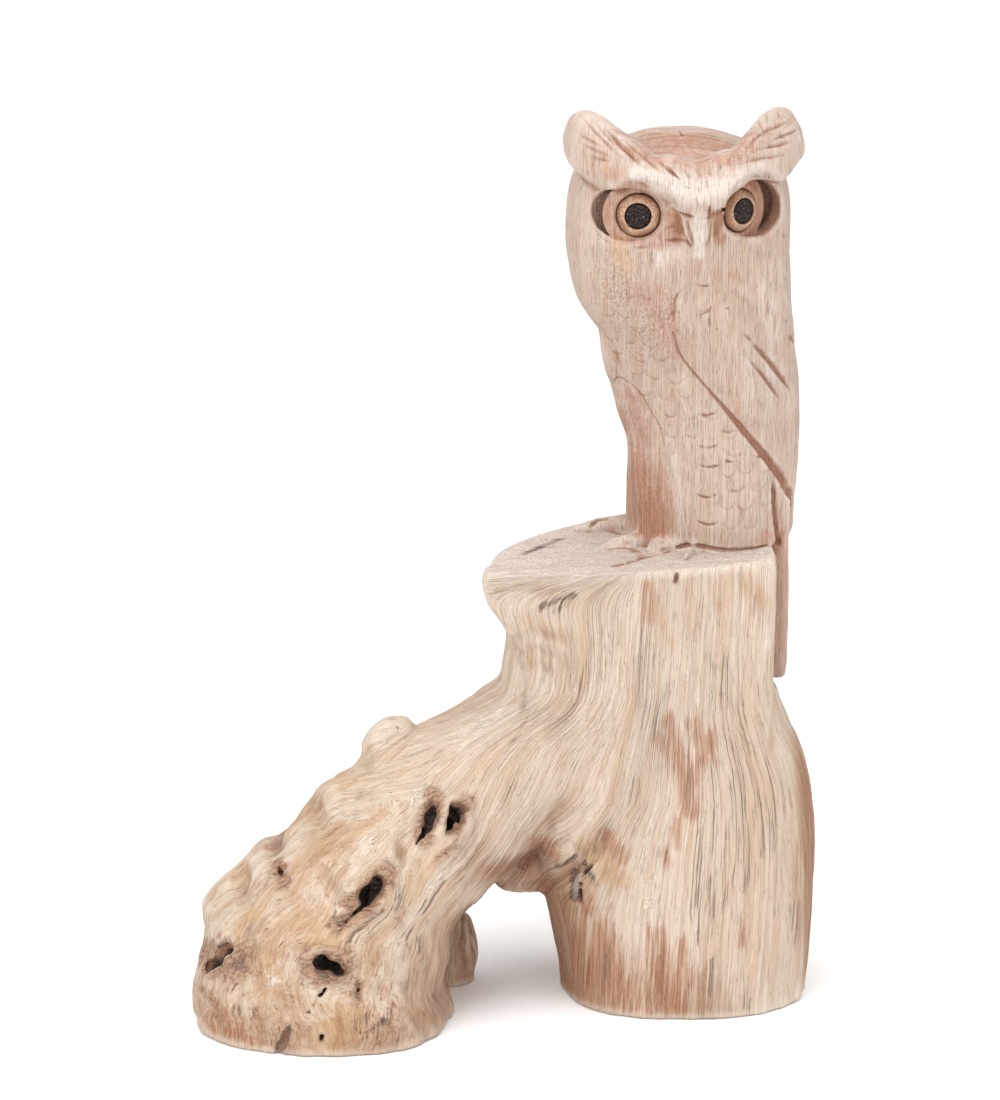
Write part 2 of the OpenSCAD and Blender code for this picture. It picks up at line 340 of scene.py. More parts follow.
def piece(name, co, faces, values, material, node):
    """A smooth mesh with one attribute for each of values, standing for a CAD node."""
    me = bpy.data.meshes.new(name)
    me.vertices.add(len(co))
    me.vertices.foreach_set("co", (co * MM).astype(np.float32).ravel())
    size = faces.shape[1]
    me.loops.add(faces.size)
    me.loops.foreach_set("vertex_index", faces.astype(np.int32).ravel())
    me.polygons.add(len(faces))
    me.polygons.foreach_set("loop_start", np.arange(0, faces.size, size, dtype=np.int32))
    me.polygons.foreach_set("loop_total", np.full(len(faces), size, np.int32))
    me.update(calc_edges=True)
    me.polygons.foreach_set("use_smooth", np.ones(len(faces), bool))
    for key, v in values.items():
        kind = "FLOAT_VECTOR" if v.ndim == 2 else "FLOAT"
        field = "vector" if v.ndim == 2 else "value"
        me.attributes.new(key, kind, "POINT").data.foreach_set(field, v.astype(np.float32).ravel())
    me.materials.append(material)
    ob = bpy.data.objects.new(name, me)
    bpy.context.scene.collection.objects.link(ob)
    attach(ob, "root")
    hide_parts(node)
    return ob


# ---------------------------------------------------------------- places on the figure

def perch_height(x, y):
    """The sloping perch: 2.3 below the stump's highest point where the trunk's axis meets it."""
    return STUMP_HI[2] - 2.3 + 0.0612 * (x - STUMP_LO[0] - 164.1) + 0.0262 * (y - STUMP_LO[1] - 77.7)


def looking(axis, way):
    """A view along an axis, one way or the other: surface points from (across, up) offsets."""
    across = 1 - axis

    def view(field, corner, pairs):
        p = np.asarray(pairs, float) + [corner[across], corner[2]]
        start = np.zeros((len(p), 3))
        start[:, across], start[:, 2] = p[:, 0], p[:, 1]
        start[:, axis] = (field.i0[axis] + (0 if way > 0 else field.a.shape[axis] - 1)) * field.h
        return field.hit(start, np.eye(3)[axis] * way)

    return view


seen, seen_behind = looking(1, 1), looking(1, -1)
seen_left, seen_right = looking(0, 1), looking(0, -1)


def eye_axes(node, turn):
    """The eye's centre on the iris's front edge, its sideways direction and the way it looks."""
    lo, hi = box_mm(node)
    a = math.radians(turn)
    look = np.array([math.sin(a), -math.cos(a), 0])
    return (lo + hi) / 2 + IRIS_FRONT * look, np.array([math.cos(a), math.sin(a), 0]), look


EYES = {"left": eye_axes("left_iris", -3), "right": eye_axes("right_iris", 40)}
# for each eye: its side, its axes, its recess's centre and radii, and the radius of the boss left round it
SOCKETS = [(-1, EYES["left"] + ((3.6, 0.3), (11.4, 8.7), 11.3)),
           (1, EYES["right"] + ((4.9, 0.5), (12.8, 9.2), 12.4))]


# ---------------------------------------------------------------- carving the owl

def run_feet_down(wood):
    """Lets the body run on a little way into the stump, so that the seam stays closed."""
    x, y, z = wood.everywhere()
    below = perch_height(x, y) - z
    lowered = wood.a.copy()
    lowered[:, :, :-SEAM_VOXELS] = wood.a[:, :, SEAM_VOXELS:]
    near = (below > -0.5) & (below < 3.5) & (x < OWL_HI[0] - 10)
    wood.a = np.where(near, np.minimum(wood.a, lowered), wood.a)


def almond(co, side, parts):
    """Coordinates about an eye's axis, and the distance to the rim of the recess round it."""
    origin, across, look, centre, radii = parts[:5]
    dx, dy, v = co[0] - origin[0], co[1] - origin[1], co[2] - origin[2]
    u, w = (dx * across[0] + dy * across[1]) * side, dx * look[0] + dy * look[1]
    rim = (np.sqrt(((u - centre[0]) / radii[0]) ** 2 + ((v - centre[1]) / radii[1]) ** 2) - 1) * min(radii)
    return np.sqrt(u * u + v * v), w + 0 * v, rim


def carve_socket(wood, side, parts):
    """An almond recess with a collar and a stepped ring standing in it round the eye's bore."""
    origin, ring = parts[0], parts[5]
    sl, co = wood.window(origin - 27, origin + 27)
    r, w, rim = almond(co, side, parts)
    boss = np.maximum(r - ring, w + 0.9 + 0.34 * (r - 7.3))
    kept = smin(smin(boss, w + 6, 0.6), -rim, 0.5)
    wood.a[sl] = smax(wood.a[sl], kept, 0.35)
    for radius, sunk, soft in ((STEP_RADIUS, 2.6, 0.5), (COLLAR_RADIUS, 0.9, 0.8)):
        collar = np.maximum(np.maximum(r - radius, w + sunk), -SOCKET_DEPTH - w)
        wood.a[sl] = smin(wood.a[sl], collar, soft)
    wood.a[sl] = smax(wood.a[sl], -np.maximum(r - BORE_RADIUS, -BORE_DEPTH - w), 0.15)


def cuts(wood, corner, width, depth, lines, taper=(1, 1), view=seen):
    """Knife cuts along lines of (across, up) offsets from a node's corner."""
    for line in lines:
        wood.groove(view(wood, corner, resample(line, 1.2)), width, depth, taper)


def beads(wood, line, radius, soft):
    """A row of joined balls of wood at offsets from the owl's corner."""
    wood.add(OWL_LO + np.array(line), [radius] * len(line), soft)


def arc(x, z, half, rise, dip):
    """A small scale's lower edge."""
    return [(x - half, z + rise), (x, z - dip), (x + half, z + rise)]


def shape_head(wood):
    """Joins the brows over the beak, fills its corners and slopes its tip back into the throat."""
    brow, *cheeks = table("""
        34 12 174.3, 39 12.2 172.8, 43.5 12.4 172.2, 48 12.8 173, 53 14.2 175.2;
        38.6 10.6 164, 39.6 12 157, 40.5 14.5 150; 48.4 10.8 164, 47.8 12.4 157, 46.8 15.5 150""")
    beads(wood, brow, 7, 2.5)
    for cheek in cheeks:
        beads(wood, cheek, 4, 1.5)
    sl, (x, y, z) = wood.window(OWL_LO + [36, 0, 143], OWL_LO + [52, 14, 165])
    limit = np.minimum(4.4 + 0.45 * (OWL_LO[2] + 162 - z), 10.2)
    wood.a[sl] = smax(wood.a[sl], ((OWL_LO[1] + limit - y) * 0.9 + 0 * x).astype(np.float32), 1.2)
    wood.soften(OWL_LO + [43.5, 9, 150], 7, 1.4)
    wood.swell(OWL_LO + [37.5, 10.4, 145], (8, 6, 8), 0.4)


def carve_brows(wood):
    """Long barbs on the tufts, short strokes over the beak and a few wrinkles."""
    cuts(wood, OWL_LO, 1.0, 0.65, table("""
        5.9 190.9, 11.8 186.1, 17.4 181.6, 20.5 179.6; 9.3 190.9, 13.7 186.8, 19.9 182.4, 25.5 178.9;
        11.9 190.3, 17.4 185.5, 25.5 179.7; 18.4 186.3, 23.7 182.4, 30.6 177.4, 34.3 174.6;
        14.5 187.4, 20.5 182.2, 28 176.2; 29.5 180.4, 34 177.3, 38.2 173.4;
        75.7 189.3, 63.4 186.4, 57.3 180.7, 52.9 178.3; 77.3 186, 70 185.1, 65.2 184.1;
        75.5 182.9, 66.5 182.9, 59.9 181.8; 71.8 179.8, 63.1 179.9, 55.4 178.8"""))
    cuts(wood, OWL_LO, 0.85, 0.5, table("""
        4.9 185.6, 13 182.9; 6.1 182.9, 15.5 180.3; 8 179.7, 17.3 178.7; 70.5 192.2, 69.9 189.4;
        65.9 191.8, 66.2 188.7; 63.1 189.8, 64.7 186.8; 76 188.6, 70.8 187.2; 33.9 177.7, 38.2 173.8;
        39.3 176.8, 41.1 173.8; 43.2 177, 44.3 174.3; 46.4 177.5, 47.6 174.8; 50.4 179.3, 50.4 176.8;
        53.1 180.5, 52.2 178.2"""))
    cuts(wood, OWL_LO, 0.8, 0.3, table("""
        21.7 175.8, 29.2 175.2; 36.2 172.9, 43.2 171.3; 45.8 172.2, 51.4 172.9; 51.4 175.1, 57.2 175.7"""))
    cuts(wood, OWL_LO, 0.8, 0.8, [[(38.5, 184.6), (39.5, 183.4), (41.1, 183.9)]])


def carve_face(wood):
    """The beak's sides, the tear marks beside it and the cracks at the throat."""
    cuts(wood, OWL_LO, 5.0, 1.7, table("""
        36.4 163.5, 36.6 159, 38.4 155; 50.8 163.5, 50.4 158, 49.4 153.5"""))
    cuts(wood, OWL_LO, 1.5, 1.0, table("""
        33.4 164.6, 36 163.8, 38.8 163, 43.5 161.6; 43.5 161.6, 48.2 162.4, 51 163.6, 52.6 164.6"""))
    cuts(wood, OWL_LO, 1.0, 0.8, table("""
        39.2 162.9, 40.6 158, 42.6 150; 48 163, 47.6 157.3, 46.4 150.4;
        31.5 153.6, 37 154.1, 40.3 153.4, 42.2 149.6"""))
    cuts(wood, OWL_LO, 0.8, 0.5, table("10.5 156.4, 13 153.6, 17 151.9; 22 151.2, 30 151.9"))
    cuts(wood, OWL_LO, 1.0, 0.9, [[(47.0, 165.9), (47.0, 157.9)]], (0, 1))
    cuts(wood, OWL_LO, 0.9, 0.5, table("""
        37.2 158.9, 40.3 154, 41.9 150.3; 31.5 157.2, 37 158.9; 48.3 166.5, 48.4 158.5;
        49.5 166.9, 49.6 158.5; 50.6 166, 50.6 159"""))
    cuts(wood, OWL_LO, 0.8, 0.5, table("""
        41.9 139.9, 40 138.2, 37.4 136.3, 36.5 133.3, 36.3 128.6, 36.3 124"""))
    cuts(wood, OWL_LO, 0.65, 0.6, table("""
        48.6 132.7, 47 130.7, 43.9 128.9; 47.3 131.1, 47.8 123.1; 58 124.3, 62.8 118.9;
        42.5 139.8, 46 138.6, 48.4 139.4; 48.5 126, 51 124.2; 52 132, 55 131.4"""))


WING_EDGE = table("""
    36.3 123.2, 38.4 116.3, 41.7 111.3, 47.4 104.6, 54.8 96.2, 61.5 88.3, 68.3 79.8, 73.6 71.6, 76.7 64.4,
    76.9 57.5, 76.6 52.9""")[0]


def shape_body(wood):
    """Smooths the breast and flank and sinks a shallow hollow into the flank."""
    breast, flank = table("""
        44.5 131, 46 124, 48 116, 51 109, 54 103; 28 100, 26 93, 24 86, 22 79, 20.5 101, 20.2 94, 20 87""")
    for places, sigma in ((breast, 3.6), (flank, 3.2)):
        for place in places:
            wood.soften(seen(wood, OWL_LO, [place])[0], 9, sigma)
    for up in (90, 82, 74, 66, 58):
        side = seen_left(wood, OWL_LO, [(back, up) for back in range(8, 64, 2)])
        wood.swell(side[side[:, 0].argmin()], (5, 13, 8), 0.9)
    for place in ((25, 30, 51), (27, 18, 49)):
        wood.soften(OWL_LO + place, 6, 0.9)
    cuts(wood, OWL_LO, 11, 0.8, table("22 92, 25.5 84, 28.5 74, 30.5 60"))


def carve_wings(wood):
    """The wing's long edge, a knife line that opens into a hollow, and its feather grooves."""
    p = seen(wood, OWL_LO, resample(WING_EDGE, 1.2))
    n = wood.normal(p, 2.4)
    t = np.linspace(0, 1, len(p))
    outward = np.cross(np.gradient(p, axis=0), n)
    outward /= np.linalg.norm(outward, axis=1, keepdims=True)
    if outward[len(p) // 2, 2] > 0:
        outward = -outward
    half = 0.45 + 1.7 * ramp(t, 0.15, 0.95)
    depth = (0.5 + 1.0 * ramp(t, 0.1, 0.8)) * ramp(1 - t, -0.1, 0.12)
    tool = (half ** 2 + depth ** 2) / (2 * depth)
    wood.cut(p + outward * half[:, None] * 0.6 + n * (tool - depth)[:, None], tool, 0.35)
    cuts(wood, OWL_LO, 2.5, 0.95, table("58.5 122.4, 64.4 116.6, 69.6 109.4, 74.2 102.2, 76.6 97.9"))
    cuts(wood, OWL_LO, 2.0, 0.8, table("""
        59 117.6, 62 113, 66.4 107, 70 101.1, 72.6 97; 73.7 120.1, 76.9 114.6, 76.9 110.1"""))
    cuts(wood, OWL_LO, 0.8, 0.5, table("""
        17.5 101, 19 103.6, 22.1 102.7, 26 100, 29.3 94.5, 32.1 89.9, 33.8 84.2, 35 77.6,
        36.7 71.6"""), (0, 1))


def carve_feathers(wood):
    """Short curved nicks down the breast, and faint rows of scales round them."""
    cuts(wood, OWL_LO, 0.75, 0.55, table("""
        44.6 95.3, 47.3 94.9, 50.6 96.3; 51.4 90.2, 53.7 89.4, 57 89.9; 44.3 84.7, 47.7 83.9, 51.4 85.2;
        44.4 78.2, 48 77.4, 52 78.4; 53 79.9, 56.7 79.2; 43.8 68.2, 47.5 67.1, 51.6 68.7;
        54 69.5, 57.6 69.2; 44.4 59.1, 48 57.9, 51.8 59"""), (0.3, 0.3))
    rows = table("""
        118 10 34, 112 16 38, 106 24 42, 100 24 46, 128 8 34, 134 12 32, 123 12 36, 93 33 52, 87 36 60,
        81 54 66, 75 54 70, 69 54 71, 63 54 70, 57 53 69""")[0]
    lip = table("-2.9 2.2, -1.6 0.3, 0 -0.4, 1.7 0.3, 2.9 2")[0]
    rng = np.random.default_rng(5)
    for k, (z, x1, x2) in enumerate(rows):
        for x in np.arange(x1 + 3.2 * (k % 2), x2, 6.4):
            a, b = x + rng.uniform(-0.8, 0.8), z + rng.uniform(-0.8, 0.8)
            cuts(wood, OWL_LO, 0.75, 0.3, [[(a + u, b + v) for u, v in lip]], (0.6, 0.6))


TOE_CUTS = table("""
    17 31 49.4, 20.7 32.5 50, 26.5 34 51.7, 32.1 29.2 54.2;
    19.5 32.2 49.6, 23.2 31.7 48.9, 26.2 22.6 51.1, 30.3 23.4 51, 34.4 24.8 51.2;
    17.5 11 46.8, 21.5 13.9 47, 26.1 18.9 47.5, 31.1 22.4 47.9, 35.2 24.2 48.8;
    10.4 54.7 49.2, 15.5 56.8 51.7, 22 46.1 57.3""")
NOTCH = table("38.5 24.8 48.9, 37.5 3.8 49.6, 37.2 -14 49.1")[0]


def cut_toes(wood, lines):
    """Tapered knife cuts between the toes, run on over the perch, and the notch at its front rim."""
    for line in lines:
        p = resample(OWL_LO + np.array(line), 1.5)
        t = np.linspace(0, 1, len(p))
        wood.cut(p, 0.35 + 1.0 * np.sin(np.pi * np.clip(0.08 + 0.8 * t, 0, 1)), 0.4)
    p = resample(OWL_LO + np.array(NOTCH), 1.5)
    wood.cut(p, np.interp(np.linspace(0, 1, len(p)), [0, 0.5, 0.8, 1], [0.5, 0.9, 1.2, 0.4]), 0.3)


def carve_feet(wood):
    """The cuts between the toes, the groove beside the tail and the seam on the perch."""
    cut_toes(wood, TOE_CUTS[1:])
    cuts(wood, OWL_LO, 1.6, 1.0, table("38.5 49.2, 43.1 50.8, 52.2 49.8, 60.1 49.5, 67.8 49.9"), (0, 0))
    cuts(wood, OWL_LO, 2.8, 1.7, table("69.7 73.6, 70 67.7, 70.5 60.8, 71.1 54.7, 71.5 49.8"), (1, 0))


def carve_back(wood):
    """What the front doesn't show: scales on the nape and folded primaries on both wings."""
    for row in range(9):
        for col in range(8):
            x = 14 + 9 * col + (4.5 if row % 2 else 0)
            if 12 < x < 70 - 1.2 * row:
                cuts(wood, OWL_LO, 1.0, 0.4, [arc(x, 150 - 8.5 * row, 3.2, 2.4, 0.8)], view=seen_behind)
    cuts(wood, OWL_LO, 2.2, 1.0, table("""
        62 128, 66 110, 66 90, 62 70; 54 116, 58 98, 57 80, 53 64; 22 122, 27 102, 33 82, 40 66;
        32 112, 37 94, 43 78, 47 66; 47 104, 48 88, 49 72, 50 60"""), view=seen_behind)
    cuts(wood, OWL_LO, 2.0, 0.9, table("""
        36 92, 40 80, 44 68; 36 122, 40 104, 47 86, 52 70; 50 122, 53 106, 57 90; 38 42, 38.6 24, 38 6;
        48 40, 47.4 24, 48 7"""), view=seen_right)
    for row in range(6):
        for col in range(5):
            x = 29 + 7 * col + (3.5 if row % 2 else 0)
            cuts(wood, OWL_LO, 0.9, 0.35, [arc(x, 152 - 7 * row, 2.6, 2, 0.6)], view=seen_right)
    cuts(wood, OWL_LO, 2.0, 0.9, table("50 118, 57 100, 61 84; 48 98, 54 84, 58 70"), view=seen_left)


def carve_owl():
    wood = Field("owl", OWL_VOXEL, 14)
    run_feet_down(wood)
    wood.blur(0.9)
    shape_head(wood)
    shape_body(wood)
    wood.roughen(0.3, (10, 10, 22), 2)
    before = wood.copy()
    for side, parts in SOCKETS:
        carve_socket(wood, side, parts)
    carve_brows(wood)
    carve_face(wood)
    carve_wings(wood)
    carve_feathers(wood)
    carve_feet(wood)
    carve_back(wood)
    wood.roughen(0.1, (2.0, 2.0, 7.0), 2)
    return wood, before


# ---------------------------------------------------------------- weathering the stump

def keep_flats(wood):
    """Lets the wood run on past the perch and the table before it is softened."""
    x, y, z = wood.everywhere()
    above = z - perch_height(x, y)
    raised, lowered = wood.a.copy(), wood.a.copy()
    raised[:, :, SEAM_VOXELS:] = wood.a[:, :, :-SEAM_VOXELS]
    lowered[:, :, :-SEAM_VOXELS] = wood.a[:, :, SEAM_VOXELS:]
    wood.a = np.where((above > -1) & (above < 6), np.minimum(wood.a, raised), wood.a)
    wood.a = np.where(z < 1, np.minimum(wood.a, lowered), wood.a)


def saw_flats(wood):
    """Cuts the perch and the base flat again, with soft worn rims."""
    x, y, z = wood.everywhere()
    ripple = 0.25 * np.sin(x * 0.9 + 0.3 * y) * np.sin(y * 0.5)
    wood.a = smax(wood.a, (z - perch_height(x, y) + 0.15 + ripple * 0.5).astype(np.float32), 0.8)
    wood.a = smax(wood.a, (0.02 - z).astype(np.float32) + 0 * x + 0 * y, 1.2)
    cut_toes(wood, TOE_CUTS)


def hole(wood, at, along, size, depth, view=seen):
    """A rotted knot hole with a raised lip, narrowing as it goes in. Size: half-length, radius."""
    c = view(wood, STUMP_LO, [at])[0]
    n = wood.normal(c[None], 3)[0]
    a = np.array([along[0], 0, along[1]], float)
    a -= n * (a @ n)
    a /= np.linalg.norm(a)
    half, r = size
    lip = 6
    sl, d = wood.chain(np.array([c - a * half, c + a * half]), np.array([r, r * 0.8]) + lip)
    wood.a[sl] -= (min(1.0, 0.3 * r) * np.exp(-((d + lip - 1.3) / 1.5) ** 2)).astype(np.float32)
    for step, shrink in ((0, 1), (0.5, 0.85), (1, 0.55)):
        q = c - n * (depth * step)
        ends, radii = [q - a * half * shrink, q + a * half * shrink], [r * shrink, r * shrink * 0.8]
        wood.cut(ends, radii, 0.6, 0.3 * r + 0.2, 2.4)


def weather_holes(wood):
    """Each row: place, direction, size and depth of a hole, and of a hollow round it if there is one."""
    for at, along, size, (depth,), *hollow in table("""
            81.2 72.3, 0.35 1, 3.6 2, 7, 79.6 73.5, 3 4 5, -1.3; 88.9 71.8, 0.45 1, 2.4 3.7, 10;
            87.2 61.5, 1 0.5, 1.4 0.8, 4; 62.4 52.6, 0.8 1, 3.4 2.7, 9, 60 50.6, 5 5 5, -1.4;
            48.6 28.9, 1 -0.5, 2.8 3.1, 8, 48 29.6, 5 5 4, -1.2; 57.2 21.6, 0.3 1, 1.2 0.9, 4;
            12 25, 1 0.2, 6.4 3.3, 11; 32.3 54.7, 0.3 1, 1.4 1.3, 6; 45.5 6.5, 0.2 1, 0.8 0.6, 3;
            188.5 127.7, 0 1, 0.3 0.5, 2; 131.6 49.6, 1 0.5, 2.6 1.1, 4; 129.6 41.5, 0.1 1, 3.2 1.1, 3;
            69.6 94, 1 0.2, 0.8 0.4, 2"""):
        hole(wood, at, along, size, depth)
        if hollow:
            place, radius, (height,) = hollow
            wood.swell(seen(wood, STUMP_LO, [place])[0], radius, height)


def shape_stump(wood):
    """Notches and lobes of the burl's outline, hollows between the limbs and ripples at the waist."""
    for place, radius, (height,) in table("""
            63.5 58.4 90.6, 7 10 6, 1.6; 48.7 54.3 76.4, 6 10 6, 1.8; 25.1 42.8 52.4, 6 12 6, 1.8;
            8 26 36, 8 12 8, 1.8; 4 24 14, 7 14 7, 1.6; 34.5 46 63, 5 9 4, 1.5;
            40.6 49.5 70.1, 2.6 9 2.6, -2.4; 29.1 46.2 57.4, 3 9 3, -2.6; 19.8 41.5 46.9, 3 9 3, -2;
            6.5 26 25.6, 5 9 3, -4.2; 56 60 84, 2.6 9 2.6, -1.6; 85 30 67, 15 12 17, 2.2;
            60 22 51, 13 12 12, 1.8; 48 18 30, 12 12 10, 1.6; 101 55 146, 4 6 3, 1.6"""):
        wood.swell(STUMP_LO + place, radius, height)
    cuts(wood, STUMP_LO, 7.0, 2.0, table("""
        117.6 38.4, 121.3 42.2, 127.7 50.3, 133.4 56.8, 135.8 63.2, 140.6 72.9"""))
    cuts(wood, STUMP_LO, 6.0, 1.3, table("""
        75.8 77.2, 73 71, 71.5 63.2, 71.8 57; 42 60, 50 52, 52 42"""))
    cuts(wood, STUMP_LO, 7.0, 1.2, table("""
        14.5 46, 22 41; 10.4 33, 19 27; 42 72, 47 66"""))
    cuts(wood, STUMP_LO, 5.0, 0.7, table("""
        105.6 117.4, 111.3 122.6, 116.9 124.1, 122.6 122, 126 116;
        107 112, 112 117, 117 118.4, 121.5 115.5;
        104.5 122.5, 110.5 128, 117.5 129.6, 125 126.6, 129 119"""))


def crack(wood, line, width, depth, view=seen):
    """A drying crack: deep, thin, with a wandering edge."""
    p = view(wood, STUMP_LO, resample(line, 1.2))
    t = np.linspace(0, 1, len(p))
    r = width / 2 * np.maximum(ramp(t, -0.2, 0.3) * ramp(1 - t, -0.1, 0.6), 0.5)
    for share in (0, 0.5, 1):
        sunk = depth * share * ramp(1 - t, -0.3, 0.5)
        wood.cut(p - wood.normal(p, 2) * sunk[:, None], r, 0.2, 0.15, 1.6)


def weather_cracks(wood):
    for line in table("""
            79.6 69.5, 78.4 67.6, 77.2 66.7, 75.5 64.6; 60.4 49.6, 58.6 47.2, 56.4 45.6, 53.1 42.4;
            48 24.2, 46.4 21.4, 44.4 19.6, 43 16.8, 41.1 14.4"""):
        crack(wood, line, 1.7, 3.5)
    crack(wood, [(30.9, 55.6), (31.9, 53.2)], 1.7, 3)
    cuts(wood, STUMP_LO, 1.0, 0.9, table("26.3 52.6, 31.6 53; 185.9 143.6, 185.7 138, 186 133.6"))
    cuts(wood, STUMP_LO, 1.5, 1.6, table("160.2 152, 160 150, 159.6 147.6"))
    cuts(wood, STUMP_LO, 3.0, 1.4, table("35 9.9, 33.6 5.5, 31.3 0.6"), (1, 0))
    cuts(wood, STUMP_LO, 1.2, 0.8, table("""
        92.2 26, 93.5 16, 94 8; 90 24, 91 12; 80 14, 84 6; 84 13, 88 7"""))


def weather_grain(wood):
    """Long shallow furrows down the trunk and root, and a lumpier surface on the burl."""
    i, p = wood.near()
    p = p - STUMP_LO
    flow = np.stack([p[:, 0] + 0.55 * np.minimum(p[:, 2] - 70, 0) * ramp(120 - p[:, 0], 0, 40), p[:, 1],
                     p[:, 2]], 1)
    burl = ramp(100 - p[:, 0], 0, 45)
    long_furrows = 0.55 * layered(flow, (7, 7, 90), 3) + 0.8 * noise(flow + 50, (24, 24, 110))
    lumps = 1.3 * noise(p, 19) + 0.5 * noise(p + 31, 9) + 0.25 * noise(p, 4)
    flat = ramp(perch_height(p[:, 0] + STUMP_LO[0], p[:, 1] + STUMP_LO[1]) - p[:, 2], 0, 6)
    wood.a[i] += ((long_furrows * (1 - 0.5 * burl) + lumps * burl) * flat).astype(np.float32)


def weather_back(wood):
    """Holes and cracks of the same kind round the back, where they can't be seen in front."""
    for at, along, size, (depth,) in table("""
            58 58, 0.8 1, 3.4 2.2, 8; 36 34, 0.6 1, 2.6 2, 7; 150 78, 0.1 1, 4 1.3, 6;
            82 82, 0.8 1, 1.6 1.1, 5"""):
        hole(wood, at, along, size, depth, seen_behind)
    for line in table("""
            55 52, 50 44, 48 38, 43 31; 150 72, 149 60, 151 46; 176 120, 175 102, 177 88;
            34 28, 31 20, 27 14"""):
        crack(wood, line, 1.5, 3, seen_behind)
    cuts(wood, STUMP_LO, 4.0, 1.4, table("""
        128 140, 126 110, 118 84, 100 62; 186 96, 184 60, 186 20; 140 60, 138 30, 141 4;
        80 70, 66 56, 56 34, 52 12"""), view=seen_behind)


def weather_stump():
    wood = Field("root_stump", STUMP_VOXEL, 9)
    keep_flats(wood)
    wood.blur(1.5)
    shape_stump(wood)
    weather_grain(wood)
    before = wood.copy()
    weather_holes(wood)
    weather_cracks(wood)
    weather_back(wood)
    wood.roughen(0.16, (2.6, 2.6, 9), 2)
    saw_flats(wood)
    return wood, before


# ---------------------------------------------------------------- what each vertex knows

def near_segments(across, up, rows):
    """How strongly each point lies in soft streaks. Row: start, end, (radius, strength)."""
    out = np.zeros(len(across))
    for (x1, z1), (x2, z2), (r, strength) in rows:
        dx, dz = x2 - x1, z2 - z1
        t = np.clip(((across - x1) * dx + (up - z1) * dz) / max(dx * dx + dz * dz, 1e-6), 0, 1)
        d = ((across - x1 - t * dx) ** 2 + (up - z1 - t * dz) ** 2) / (r * r)
        out = np.maximum(out, strength * np.exp(-d))
    return out


def toe_stains(p, shift, strength):
    """The toe cuts as streaks on the perch's plan."""
    rows = [((a[0] + shift[0], a[1] + shift[1]), (b[0] + shift[0], b[1] + shift[1]), (1.3, strength))
            for line in TOE_CUTS for a, b in zip(line[:-1], line[1:])]
    return near_segments(p[:, 0], p[:, 1], rows)


def blotches(co, stretch, size, lo, hi, shift=0):
    """Large soft patches for the sides that the photo doesn't show."""
    return ramp(layered(co * [1, 1, stretch] + shift, size), lo, hi)


def wear_highlight_and_shade(wood, co, sigma):
    """Positive on ridges and rims, negative in creases. It paints pale wear and a painted highlight on
    ridges, and painted shade in creases.
    """
    soft = wood.copy()
    soft.blur(sigma)
    return soft.sample(co) - wood.sample(co)


